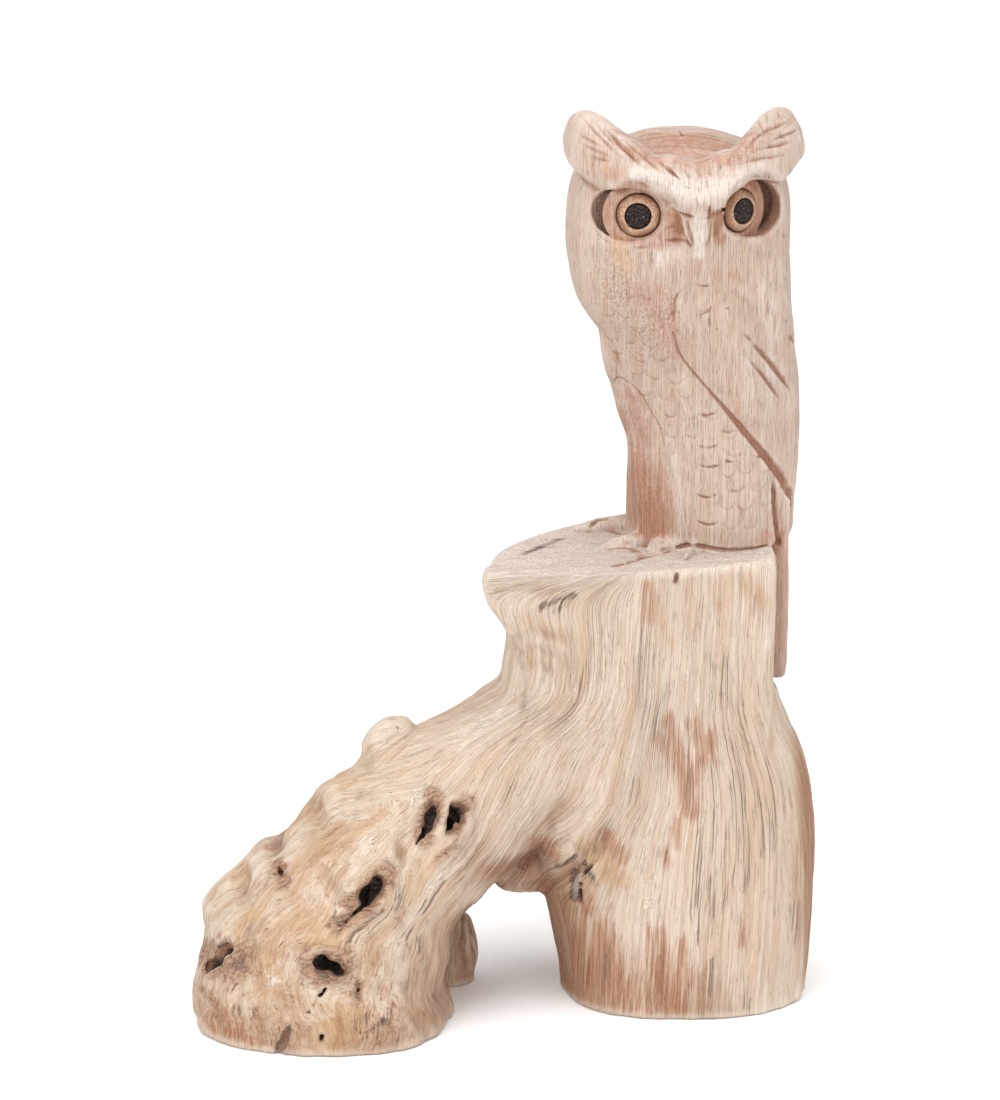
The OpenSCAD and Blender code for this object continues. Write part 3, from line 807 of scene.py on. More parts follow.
def owl_values(wood, before, co, normals, calm, turn):
    p = co - OWL_LO
    facing = ramp(-normals[:, 1], -0.1, 0.35)
    across, up = p[:, 0], p[:, 2]

    def streaks(text):
        return near_segments(across, up, table(text))

    red = streaks("""
        26 182, 44 181, 7 0.8; 40 184, 52 184, 5 0.8; 52 181, 62 185, 5 0.7; 8 184, 14 178, 5 0.5;
        24 96, 30 60, 6 0.75; 31 74, 34 56, 6 0.8; 30 135, 38 118, 7 0.65; 24 138, 34 128, 6 0.5;
        46 140, 60 142, 7 0.45; 52 104, 60 92, 5 0.5; 15 176, 22 172, 4 0.7; 62 158, 68 156, 4 0.5;
        26 150, 30 154, 6 0.45; 44 146, 46 134, 5 0.4; 36 100, 38 88, 5 0.5; 70 60, 72 50, 4 0.8;
        70 50, 74 10, 6 1.5; 60 60, 62 50, 5 0.3; 78 100, 78 60, 4 0.3; 20 88, 24 58, 7 0.9;
        30 66, 34 54, 5 1.1; 34 184, 54 182, 5 0.9; 60 184, 72 190, 4 0.6; 20 174, 26 172, 4 0.9;
        12 170, 14 160, 4 0.5; 22 160, 34 154, 3.5 0.6; 52 158, 66 154, 3.5 0.6; 35.5 162, 37 155, 3.0 1.1;
        50.8 163, 50 154, 2.8 1.1; 18 153, 34 152, 2.2 0.7; 24 76, 30 56, 6 0.9""")
    toes = toe_stains(p, (0, 0), 1.6) * ramp(60 - up, 0, 3)
    foot = ramp(53 - up, 0, 3) * ramp(58 - across, 0, 5)
    red = np.maximum(red * (1 - 0.8 * foot), toes)
    # pale streaks: paler wood, and painted highlight along the brow ridge and the beak's ridge
    pale = streaks("""
        24 175.5, 44 171, 4.5 1.0; 46 172, 62 176, 4 0.8; 8 189, 14 186, 4 0.5;
        43.6 162, 44.2 150, 2.6 0.9; 38 150, 40 78, 2.5 0.4; 38 80, 39.5 54, 2.4 0.5;
        30 148, 40 150, 5 0.6; 43 165, 43.5 150, 2 0.7; 20 146, 24 142, 5 0.4; 37 50, 42 48, 6 0.8;
        72 190, 78 184, 4 0.5; 66 140, 70 120, 8 0.45; 66 112, 74 96, 8 0.45; 58 118, 62 104, 5 0.35""")
    amber = streaks("""
        18 152, 21 145, 4 0.9; 14 178, 24 174, 4 0.5; 46 70, 47 54, 3 0.4""")
    speckle = streaks("""
        16 140, 30 116, 10 1.0; 34 134, 36 122, 5 1.0; 22 98, 28 60, 7 1.0; 32 186, 62 186, 7 0.8""")
    recess, socket_shade = np.zeros(len(co)), np.zeros(len(co))
    for side, parts in SOCKETS:
        r, w, rim = almond(co.T, side, parts)
        # painted shade: the socket goes dark where it sinks deep round the boss
        dark = ramp(r, parts[5] - 1.0, parts[5] + 0.2) * ramp(-w, 2.8, 5.0)
        inside = ramp(-rim, -1.6, 0.6) * ramp(14 - np.abs(w), 0, 2)
        # painted shade: the almond round each eye is tinted reddish brown through the red layer
        socket_shade = np.maximum(socket_shade, inside * (0.75 + 0.5 * ramp(8.0 - r, 0, 1)))
        recess = np.maximum(recess, dark * ramp(-rim, -1.0, 0.6) * ramp(12 + w, 0, 2))
    back = 1 - facing
    tail = ramp(across, 65, 69) * ramp(50 - up, 0, 5)
    red = red * facing + back * 0.5 * ramp(layered(co, (14, 14, 30)), 0.15, 0.7) + 1.5 * tail
    pale = pale * facing + back * 0.4 * ramp(layered(co + 90, (12, 12, 26)), 0.2, 0.7)
    pale = np.maximum(pale, 0.55 * foot)
    dusky = streaks("26 70, 32 54, 7 0.9; 34 184, 56 184, 6 0.5")
    return {
        "grain": calm,
        "front": calm * [1, 0, 1],
        "side": calm[:, [1, 0, 2]] * [1, 0, 1] + [300, 50, 0],
        "turn": turn,
        "depth": np.clip(-before.sample(co), 0, 12),
        "edge": wear_highlight_and_shade(wood, co, 1.7) * (1 - 0.8 * ramp(socket_shade, 0, 0.5)),
        "red": np.maximum(red, socket_shade),
        "pale": pale * (1 - ramp(socket_shade, 0, 0.6)),
        "amber": amber * facing,
        "speckle": speckle * facing,
        "recess": recess,
        "tail": np.maximum(tail, dusky * facing)}


KNOTS = table("85 68, 12; 61 51, 12; 47 27, 10; 15 26, 8; 33 54, 6; 124 56, 9; 72 77, 6")
FORK_LEFT = 112
FORK_LINE = table("0 112, 36 114, 74 139, 110 147, 155 150")[0]


def flow_across(wood, co):
    """Runs from 0 at the root's outer side through 50 at the fork to 100, parting round the knots."""
    inside = wood.a < 0
    xs = (np.arange(wood.a.shape[0]) + wood.i0[0]) * wood.h
    zs = (np.arange(wood.a.shape[2]) + wood.i0[2]) * wood.h
    slab = inside.any(axis=1)
    ok = slab.any(axis=0)
    left, right = xs[slab.argmax(axis=0)], xs[len(xs) - 1 - slab[::-1].argmax(axis=0)]
    kernel = np.hanning(41) / np.hanning(41).sum()
    near_side, far_side = [
        np.convolve(np.pad(np.interp(zs, zs[ok], e[ok]), 20, mode="edge"), kernel, "valid")
        for e in (left, right)]
    fork_up, fork_across = zip(*FORK_LINE)

    def across(x, z):
        near, far = np.interp(z, zs, near_side), np.interp(z, zs, far_side)
        fork = STUMP_LO[0] + np.interp(z, fork_up, fork_across)
        low = 50 * (x - near) / np.maximum(fork - near, 4)
        wide = np.maximum(far - STUMP_LO[0] - FORK_LEFT, 4)
        high = 50 + 50 * (x - STUMP_LO[0] - FORK_LEFT) / wide
        edge = 50 * (fork - STUMP_LO[0] - FORK_LEFT) / wide
        high = high - edge * np.exp(-np.maximum(x - fork, 0) / 15)
        return np.where(x < fork, low, high)

    flow = across(co[:, 0], co[:, 2])
    bent = flow.copy()
    for (kx, kz), (r,) in KNOTS:
        kx, kz = kx + STUMP_LO[0], kz + STUMP_LO[2]
        d = ((co[:, 0] - kx) ** 2 + (co[:, 2] - kz) ** 2) / (r * r)
        bent -= 0.85 * (flow - across(kx, kz)) / (d + 0.85) * np.exp(-d / 3)
    return bent


def stump_values(wood, before, co, normals, calm, turn):
    p = co - STUMP_LO
    flow = flow_across(wood, calm)
    facing = ramp(-normals[:, 1], -0.15, 0.3)
    across, up = p[:, 0], p[:, 2]
    below = perch_height(co[:, 0], co[:, 1]) - co[:, 2]
    cut = np.clip(np.minimum(-before.sample(co), np.maximum(below, 0)), 0, 14)

    def streaks(text):
        return near_segments(across, up, table(text))

    red = streaks("""
        156.7 96, 162 86, 5 1.0; 171.5 96, 164 80, 5 1.0; 162 84, 165 72, 5 1.0; 161 69, 161 60, 3 0.9;
        156 58, 159.5 53, 4 0.9; 155 30, 160 6, 6 0.9; 163 27, 166 14, 4 0.7; 137 30, 141 8, 7 0.9;
        122 36, 134 12, 10 0.75; 138 62, 142 56, 5 1.2; 128 47, 132 36, 5 1.1; 116 57, 124 50, 5 1.1;
        151 147, 151 136, 3.5 0.9; 158 144, 170 130, 5 0.35; 158 102, 162 89, 4.5 1.0;
        166 101, 170 89, 4.5 0.9; 204 86, 207 48, 3.5 0.8; 182 34, 183 26, 3.5 0.7; 172 28, 175 42, 4 0.4;
        72 76, 71 58, 3 0.6; 110 46, 116 42, 5 0.7; 133 108, 134 96, 3 0.6; 60 28, 66 14, 7 0.5;
        140 70, 137 84, 3.5 0.4; 100 52, 114 48, 6 0.9; 118 40, 124 6, 6 0.9; 79 70, 83 76, 3.6 0.9;
        88 70, 90 74, 4.5 0.8; 57 47, 64 55, 5 0.9; 46 28, 50 28, 5.5 0.95; 57 21, 58 23, 2.6 0.7;
        12 24, 20 27, 5 0.8; 31 57, 33 53, 3.5 0.7; 10 8, 22 4, 6 0.6; 120 36, 134 4, 8 0.6;
        134 30, 150 4, 9 0.65; 10 34, 14 20, 5 0.5; 204 90, 207 20, 3.5 0.6""")
    amber = streaks("""
        151 147, 158 128, 5 0.7; 164 148, 166 132, 4 0.7; 172 148, 173 140, 3 0.8;
        181 148, 190 140, 4.5 0.8; 191 122, 193 70, 4 0.6; 112 134, 124 130, 6 0.8;
        116 146, 126 142, 5 0.7; 106 120, 118 121, 5 0.6; 40 44, 48 36, 8 0.7; 26 28, 34 20, 8 0.7;
        40 70, 46 64, 6 0.5; 120 94, 126 80, 8 0.5; 104 92, 112 98, 5 0.5; 56 10, 46 5, 6 0.9;
        86 94, 90 84, 5 0.4; 120 56, 126 50, 5 0.9; 132 57, 141 49, 7 1.15; 20 46, 26 40, 5 0.4;
        44 86, 50 80, 5 0.5; 110 104, 126 108, 5 0.5""")
    grey = streaks("""
        135 146, 134 118, 3 0.8; 133 118, 123 98, 4.5 0.8; 150 130, 152 96, 4.5 1.0;
        156 112, 156 88, 4 0.9; 152 92, 147 78, 4 0.8; 176 120, 184 88, 6 0.8; 170 84, 172 40, 8 1.0;
        181 92, 183 48, 6 1.0; 190 84, 191 56, 4 0.8; 164 54, 164 36, 4 0.8; 173 20, 173 10, 2.2 1.2;
        185 12, 185 3, 1.8 1.2; 138 22, 138 12, 2.2 1.2; 58 40, 74 50, 3.5 1.0; 52 38, 66 46, 4 0.8;
        35 9, 32 2, 3.5 1.1; 58 8, 66 12, 5 0.9; 84 52, 78 44, 2.6 0.9; 96 62, 90 52, 2.4 0.8;
        112 100, 104 90, 2.6 0.7; 109 80, 90 64, 3 0.5; 84 88, 70 72, 3 0.5; 57 49, 50 43, 4.5 0.9;
        20 12, 16 18, 5 0.7; 200 34, 202 24, 3 0.7; 168 40, 170 30, 5 0.7; 72 40, 76 30, 4 0.6""")
    pale = streaks("""
        131 124, 142 110, 5 0.5; 128 112, 134 104, 4 0.4; 32 24, 38 30, 6 0.65; 36 20, 30 26, 5 0.55;
        62 66, 66 62, 5 0.6; 101 72, 102 76, 3 0.7; 108 66, 113 62, 4 0.5; 120 62, 124 58, 3.5 0.5;
        80 50, 84 54, 2 0.8; 80 70, 78 78, 3 0.7; 150 66, 151 40, 7 0.5; 118 100, 104 86, 7 0.5;
        90 92, 110 106, 7 0.6; 160 122, 172 104, 6 0.5""")
    smoke = facing * streaks("""
        116.5 140, 127 144.5, 2.2 0.85; 120 138, 124 141, 2.4 0.7; 131 52, 134 47, 1.5 0.8;
        129 44, 130 38, 1.6 0.9; 35 9, 31.5 1, 2.2 1.0; 58 40, 66 46, 2.0 0.6; 80 76, 84 70, 2.6 0.75;
        64 55, 58 48, 2.6 0.75; 57 24, 57.5 19, 1.8 0.8; 46 27, 51 30, 3.4 0.8; 89 69, 91 75, 3 0.7;
        12 24, 20 27, 3 0.7; 128 54, 122 49, 1.8 0.9; 128 48, 127.5 39, 1.9 1.2; 53 44, 51 42, 2 0.7;
        173 20, 173 10, 1.0 0.55; 185 12, 185 3, 1.0 0.6; 138 22, 138 12, 1.0 0.55; 60 8, 66 11, 2.5 0.7;
        96 62, 92 55, 1.2 0.6; 112 100, 106 92, 1.3 0.6""")
    scab = facing * streaks("""
        78 68, 82 77, 5.0 1.25; 88 69, 91 75, 5.6 1.1; 84 60, 89 62, 3.6 0.9; 57 47, 65 56, 6.4 1.3;
        54 44, 50 41, 4 1.0; 43 29, 52 29, 7.0 1.3; 57 19, 57.5 24, 3.6 1.0; 6 22, 20 28, 7 1.15;
        28 58, 33 53, 4.5 1.0; 100 55, 115 49, 4.5 0.7; 102 48, 112 46, 3 0.7; 116 139, 126 144, 3.0 0.7;
        40 22, 30 16, 4 0.55; 60 4, 72 8, 3.5 0.7; 128 52, 134 46, 3.6 0.8; 114 52, 126 60, 4 0.7;
        88 34, 94 24, 5 0.7; 84 10, 96 8, 5 0.6; 6 14, 12 8, 4 0.7; 20 6, 34 3, 3 0.5;
        47 66, 52 70, 3.5 0.5; 44 68, 40 64, 2.5 0.5""")
    burl = ramp(105 - p[:, 0], 0, 50)
    low = ramp(34 - up, 0, 34)
    rim = ramp(4.5 - below, 0, 4.5)
    top = ramp(normals[:, 2], 0.6, 0.9) * ramp(6 - below, 0, 3)
    streak = near_segments(p[:, 0], p[:, 1], table("""
        111 69, 116 75, 2.6 0.85; 116 76, 123 84, 3.2 0.75; 107 56, 114 60, 5 0.3""")) * top
    toes = toe_stains(p, OWL_LO - STUMP_LO, 1.8) * ramp(5 - below, 0, 2)
    # the hollow under the root's arch, where painted shade goes
    throat = ramp(across, 84, 90) * ramp(106 - across, 0, 6) * ramp(42 - up, 0, 6)
    back = 1 - facing
    red = red * facing + back * 0.9 * blotches(co, 0.35, 16, 0.25, 0.85, 7)
    # painted shade: redder towards the bottom, along the right-hand edge and under the arch
    red = red + 0.34 * low + 0.25 * ramp(across, 185, 208) + 0.5 * throat
    amber = amber * facing + back * 0.7 * blotches(co, 0.4, 18, 0.15, 0.8, 77)
    # painted shade: more amber towards the bottom
    amber = amber + 0.3 * burl + 0.2 * low
    # tan patches round the trunk and the back, and painted shade along the bottom, the right-hand edge and
    # under the arch
    tan = facing * streaks("""
        12 6, 84 4, 13 0.85; 90 30, 82 8, 12 0.8; 64 30, 30 36, 12 0.4; 36 54, 48 66, 9 0.4;
        116 36, 128 4, 15 1.25; 140 16, 170 4, 15 0.75; 206 90, 208 10, 7 1.25; 100 50, 116 48, 7 0.9;
        112 60, 124 70, 9 0.45; 84 84, 100 92, 9 0.3; 112 124, 124 120, 8 0.4; 20 46, 26 52, 6 0.5;
        86 66, 94 60, 8 0.45""") + 0.5 * back + 0.25 * throat
    grey = grey * facing + back * 0.9 * blotches(co, 0.3, 14, 0.2, 0.8, 177)
    pale = pale * facing + back * 0.5 * blotches(co, 0.5, 15, 0.3, 0.8, 277)
    off = 1 - top
    # pale rim of the perch: worn pale and a painted highlight
    worn = 0.8 * rim * ramp(layered(co, 3), -0.5, 0.4)
    return {
        "grain": np.stack([flow, calm[:, 1], calm[:, 2]], 1),
        "front": np.stack([flow, 0 * flow, calm[:, 2]], 1),
        "side": np.stack([0.8 * calm[:, 1] + 300, 0 * flow + 50, calm[:, 2]], 1),
        "turn": turn,
        "depth": cut * off,
        "edge": wear_highlight_and_shade(wood, co, 2.2),
        "top": top,
        "burl": burl,
        "rot": ramp(cut, 1.6, 4.2) * off,
        "scab": scab * off,
        "red": np.maximum(red * off, toes),
        "amber": amber * off,
        "grey": grey * off,
        "smoke": np.maximum(streak, smoke * off),
        "tan": tan * off,
        "pale": np.maximum(pale * off, worn)}


# ---------------------------------------------------------------- shading

def rgb(r, g, b, share=0.78):
    """The linear reflectance of wood that looks (r, g, b) under the studio's lights."""
    part = [c / 255 for c in (r, g, b)]
    linear = [c / 12.92 if c <= 0.04045 else ((c + 0.055) / 1.055) ** 2.4 for c in part]
    return tuple(share * c for c in linear) + (1.0,)


class Shade:
    """A node material built from the bottom up."""

    def __init__(self, name):
        self.mat = bpy.data.materials.new(name)
        self.mat.use_nodes = True
        self.tree = self.mat.node_tree
        self.tree.nodes.clear()

    def new(self, kind, inputs=(), out=0, **settings):
        n = self.tree.nodes.new("ShaderNode" + kind)
        for key, value in settings.items():
            setattr(n, key, value)
        for where, value in dict(inputs).items():
            if isinstance(value, bpy.types.NodeSocket):
                self.tree.links.new(value, n.inputs[where])
            else:
                n.inputs[where].default_value = value
        return n.outputs[out] if n.outputs else None

    def attribute(self, name, vector=False):
        return self.new("Attribute", out=1 if vector else 2, attribute_name=name)

    def stretch(self, vector, scale, shift=(0, 0, 0)):
        return self.new("Mapping", {"Vector": vector, "Scale": scale, "Location": shift})

    def sway(self, vector, bend):
        push = self.new("VectorMath", {0: bend, 1: (120, 120, 120)}, operation="MULTIPLY")
        return self.new("VectorMath", {0: vector, 1: push}, operation="ADD")

    def noise(self, vector, scale=1.0, detail=3.0, rough=0.55):
        inputs = {"Vector": vector, "Scale": scale, "Detail": detail, "Roughness": rough}
        return self.new("TexNoise", inputs)

    def grain(self, faces, scale, shift=(0, 0, 0), detail=3.0, rough=0.55):
        """Noise drawn out along the grain. Faces: front and side coordinates, and which of them counts."""
        front, side, turn = faces
        a = self.noise(self.stretch(front, scale, shift), detail=detail, rough=rough)
        b = self.noise(self.stretch(side, scale, shift), detail=detail, rough=rough)
        return self.mix(turn, a, b)

    def ramp(self, value, lo, hi, to_lo=0.0, to_hi=1.0):
        inputs = {"Value": value, "From Min": lo, "From Max": hi, "To Min": to_lo, "To Max": to_hi}
        return self.new("MapRange", inputs, interpolation_type="SMOOTHSTEP")

    def math(self, op, a, b=0.0, clamp=False):
        return self.new("Math", {0: a, 1: b}, operation=op, use_clamp=clamp)

    def add(self, a, b):
        return self.math("ADD", a, b)

    def times(self, a, b):
        return self.math("MULTIPLY", a, b)

    def mix(self, factor, a, b, mode="MIX"):
        return self.new("MixRGB", {"Fac": factor, "Color1": a, "Color2": b}, blend_type=mode)

    def between(self, value, lo, hi, a, b):
        """From colour a to colour b as value passes from lo to hi."""
        return self.mix(self.ramp(value, lo, hi), a, b)

    def layer(self, base, value, lo, hi, share, colour, mode="MIX"):
        """A colour over the base where value passes from lo to hi, at most share strong."""
        return self.mix(self.ramp(value, lo, hi, 0, share), base, colour, mode)

    def stain(self, base, name, blot, lo, hi, share, colour, mode="MIX"):
        """A layer where one of the piece's attributes is strong, its edge broken up by blot."""
        return self.layer(base, self.add(self.attribute(name), blot), lo, hi, share, colour, mode)

    def bump(self, height, distance, strength=1.0, normal=None):
        inputs = {"Height": height, "Distance": distance, "Strength": strength}
        if normal is not None:
            inputs["Normal"] = normal
        return self.new("Bump", inputs)

    def finish(self, colour, roughness, normal, specular=0.3):
        inputs = {"Base Color": colour, "Roughness": roughness, "Normal": normal,
                  "Specular IOR Level": specular}
        shader = self.new("BsdfPrincipled", inputs)
        self.new("OutputMaterial", {"Surface": shader})
        return self.mat


def owl_wood():
    s = Shade("carved_owl_wood")
    g = s.attribute("grain", True)
    broad = s.noise(s.stretch(g, (0.05, 0.05, 0.02)), detail=4)
    faces = s.attribute("front", True), s.attribute("side", True), s.attribute("turn")
    bands = s.grain(faces, (0.6, 0.6, 0.012), detail=4, rough=0.6)
    fibres = s.grain(faces, (2.1, 2.1, 0.03), detail=4, rough=0.7)
    pores = s.grain(faces, (3.3, 3.3, 0.16), (7, 3, 1), 3, 0.6)
    dots = s.noise(s.stretch(g, (1.5, 1.5, 1.2)), detail=4, rough=0.72)
    fuzz = s.noise(s.stretch(g, (3.0, 3.0, 2.4)), detail=3)
    speckle = s.attribute("speckle")
    streaky = s.times(s.add(s.noise(s.stretch(g, (0.4, 0.4, 0.09)), detail=7, rough=0.75), -0.5), 2.0)
    c = s.between(broad, 0.35, 0.65, rgb(205, 183, 168), rgb(214, 196, 183))
    c = s.layer(c, bands, 0.44, 0.60, 0.6, rgb(200, 169, 149))
    c = s.layer(c, fibres, 0.50, 0.62, 0.6, rgb(181, 144, 121))
    c = s.layer(c, fibres, 0.44, 0.30, 0.5, rgb(238, 222, 210))
    c = s.stain(c, "red", streaky, 0.25, 1.0, 0.8,
                s.between(fibres, 0.40, 0.60, rgb(196, 148, 122), rgb(168, 114, 86)))
    c = s.stain(c, "amber", streaky, 0.3, 0.8, 0.6, rgb(214, 176, 138))
    c = s.stain(c, "pale", streaky, 0.25, 0.9, 0.8, rgb(238, 226, 216))
    dashes = s.times(s.ramp(pores, 0.56, 0.64, 0, 0.7), s.math("SUBTRACT", 1.0, speckle, clamp=True))
    c = s.mix(dashes, c, s.mix(0.62, c, rgb(134, 88, 66)))
    c = s.mix(s.times(s.ramp(dots, 0.50, 0.57, 0, 0.9), speckle), c, s.mix(0.6, c, rgb(140, 94, 70)))
    c = s.stain(c, "tail", streaky, 0.2, 1.1, 0.7, (0.80, 0.62, 0.50, 1), "MULTIPLY")
    depth, edge = s.attribute("depth"), s.attribute("edge")
    # painted shade: knife cuts and hollows go brown with their depth below the uncarved surface
    cut_shade = s.between(fibres, 0.4, 0.6, rgb(190, 140, 112), rgb(160, 110, 84))
    c = s.layer(c, s.add(depth, s.times(streaky, 0.8)), 0.06, 1.1, 0.75, cut_shade)
    # painted shade in the owl's creases
    c = s.layer(c, edge, -0.06, -0.45, 0.7, rgb(142, 92, 68))
    # pale ridges: worn pale and a painted highlight
    c = s.layer(c, edge, 0.12, 0.55, 0.35, rgb(240, 228, 217))
    # painted shade: near-black brown deep in the eye sockets
    c = s.layer(c, s.attribute("recess"), 0.15, 0.9, 0.92,
                s.between(dots, 0.35, 0.65, rgb(62, 40, 31), rgb(104, 70, 54)))
    c = s.layer(c, fuzz, 0.38, 0.62, 0.2, rgb(196, 163, 143))
    n = s.bump(s.add(s.times(fibres, 1.0), s.times(fuzz, 0.35)), 0.0007, 0.6)
    n = s.bump(s.ramp(pores, 0.54, 0.64, 1, 0), 0.0003, 0.6, n)
    rough = s.ramp(fibres, 0.3, 0.7, 0.62, 0.82)
    return s.finish(c, rough, n)


def stump_wood():
    s = Shade("weathered_root_wood")
    g = s.attribute("grain", True)
    burl, top = s.attribute("burl"), s.attribute("top")
    warp = s.new("TexNoise", {"Vector": s.stretch(g, (0.06, 0.06, 0.03)), "Scale": 1.0, "Detail": 3.0},
                 out=1)
    bend = s.mix(s.ramp(burl, 0, 1, 0.008, 0.06), (0.5, 0.5, 0.5, 1), warp)
    g = s.sway(g, bend)
    broad = s.noise(s.stretch(g, (0.05, 0.05, 0.012)), detail=4)
    faces = [s.sway(s.attribute(name, True), bend) for name in ("front", "side")] + [s.attribute("turn")]
    bands = s.grain(faces, (0.9, 0.9, 0.009), detail=5, rough=0.66)
    fibres = s.grain(faces, (3.2, 3.2, 0.016), detail=3, rough=0.6)
    lines = s.grain(faces, (2.6, 2.6, 0.013), (40, 7, 3), 2, 0.6)
    pores = s.grain(faces, (2.2, 2.2, 0.14), (4, 2, 9), 2)
    dots = s.noise(s.stretch(g, (1.3, 1.3, 0.9)), detail=5, rough=0.75)
    fuzz = s.noise(s.stretch(g, (2.6, 2.6, 1.6)), detail=3)
    streaky = s.add(s.grain(faces, (0.8, 0.8, 0.032), (15, 5, 5), 7, 0.74), -0.5)
    mottled = s.add(s.noise(s.stretch(g, (0.28, 0.28, 0.16)), detail=7, rough=0.74), -0.5)
    blot = s.times(s.mix(burl, streaky, mottled), 2.2)
    veins = s.grain(faces, (0.17, 0.17, 0.010), (9, 4, 2), 7, 0.70)
    c = s.between(broad, 0.35, 0.65, rgb(214, 195, 176), rgb(225, 208, 191))
    c = s.mix(s.times(burl, 0.6), c, rgb(214, 192, 166))
    c = s.layer(c, veins, 0.49, 0.62, 0.75, s.mix(burl, rgb(210, 180, 152), rgb(196, 156, 118)))
    c = s.layer(c, veins, 0.46, 0.34, 0.6, rgb(232, 219, 201))
    c = s.layer(c, bands, 0.48, 0.62, 0.4, rgb(202, 174, 149))
    c = s.layer(c, bands, 0.42, 0.30, 0.35, rgb(238, 226, 212))
    calm = s.ramp(burl, 0, 1, 0.42, 0.34)
    c = s.mix(s.times(s.ramp(fibres, 0.50, 0.64), calm), c, rgb(176, 143, 118))
    c = s.layer(c, fibres, 0.44, 0.30, 0.3, rgb(244, 231, 217))
    # brown tint over the tan patches and the painted shade
    c = s.stain(c, "tan", s.times(blot, 0.8), 0.05, 1.0, 0.75,
                s.between(s.mix(0.5, veins, fibres), 0.42, 0.58, rgb(202, 170, 144), rgb(158, 118, 90)))
    fuzzy = s.between(dots, 0.40, 0.58, rgb(206, 184, 168), rgb(240, 229, 220))
    c = s.mix(s.times(top, 0.85), c, fuzzy)
    c = s.stain(c, "amber", blot, 0.35, 1.1, 0.75,
                s.between(bands, 0.42, 0.60, rgb(206, 170, 130), rgb(180, 136, 98)))
    c = s.stain(c, "red", s.times(blot, 1.5), 0.42, 1.15, 0.85,
        s.mix(s.ramp(fibres, 0.38, 0.60), s.between(bands, 0.4, 0.6, rgb(204, 158, 128), rgb(186, 130, 98)),
              rgb(156, 104, 78)))
    grey = s.attribute("grey")
    where = s.ramp(s.add(grey, blot), 0.25, 0.75)
    c = s.mix(s.times(s.ramp(lines, 0.54, 0.62), s.times(where, 0.85)), c, rgb(98, 84, 76))
    c = s.layer(c, s.add(grey, blot), 0.65, 1.3, 0.25, rgb(176, 160, 148))
    rough_patch = s.between(dots, 0.44, 0.54, rgb(204, 176, 156), rgb(250, 245, 238))
    c = s.stain(c, "pale", blot, 0.4, 0.95, 0.8, rough_patch)
    c = s.layer(c, pores, 0.62, 0.72, 0.5, rgb(150, 116, 92))
    flecks = s.noise(s.stretch(g, (0.55, 0.55, 0.2), (3, 8, 2)), detail=6, rough=0.7)
    c = s.mix(s.times(s.ramp(flecks, 0.60, 0.68, 0, 0.75), s.ramp(burl, 0, 1, 0.25, 1)), c,
              rgb(112, 78, 60))
    worm = s.times(s.ramp(dots, 0.58, 0.66, 0, 0.6), s.ramp(s.add(burl, blot), 0.8, 1.6))
    c = s.mix(worm, c, rgb(150, 106, 80))
    crust = s.between(dots, 0.40, 0.58, rgb(112, 72, 52), rgb(190, 152, 124))
    c = s.stain(c, "scab", blot, 0.45, 1.0, 0.9, crust)
    c = s.stain(c, "smoke", blot, 0.5, 0.9, 0.9,
                s.between(dots, 0.42, 0.58, rgb(50, 40, 35), rgb(128, 108, 96)))
    # painted shade: the same places darkened again by a multiply
    c = s.stain(c, "tan", s.times(blot, 0.6), 0.3, 1.1, 0.6, (0.72, 0.60, 0.50, 1), "MULTIPLY")
    depth, edge, rot = s.attribute("depth"), s.attribute("edge"), s.attribute("rot")
    # brown in holes and cracks by depth: rot brown and painted shade
    c = s.layer(c, s.add(depth, s.times(blot, 0.8)), 0.3, 2.2, 0.85, rgb(150, 106, 80))
    # painted shade in the stump's creases
    c = s.layer(c, edge, -0.15, -0.8, 0.5, rgb(130, 90, 66))
    # pale ridges: worn pale and a painted highlight
    lit = s.times(s.ramp(edge, 0.2, 0.8, 0, 0.4), s.math("SUBTRACT", 1.0, s.attribute("scab"), clamp=True))
    c = s.mix(lit, c, rgb(244, 231, 216))
    # charcoal deep in the holes: dark rot and painted shade
    char = s.mix(s.ramp(dots, 0.58, 0.70, 0, 0.8), rgb(40, 31, 27), rgb(150, 134, 122))
    c = s.layer(c, s.add(rot, s.times(mottled, 1.2)), 0.35, 0.75, 1, char)
    c = s.layer(c, fuzz, 0.38, 0.62, 0.18, rgb(196, 166, 142))
    height = s.add(s.times(fibres, s.ramp(burl, 0, 1, 1.0, 0.35)), s.times(fuzz, 0.4))
    height = s.add(height, s.times(s.attribute("scab"), s.times(dots, 2.0)))
    height = s.add(height, s.times(s.times(dots, s.math("MAXIMUM", s.times(burl, 0.4), top)), 1.2))
    n = s.bump(height, 0.0007, 0.5)
    n = s.bump(s.ramp(lines, 0.50, 0.60, 1, 0), 0.0004, 0.6, n)
    n = s.bump(s.ramp(pores, 0.58, 0.70, 1, 0), 0.0003, 0.5, n)
    rough = s.ramp(fibres, 0.3, 0.7, 0.66, 0.86)
    return s.finish(c, rough, n)


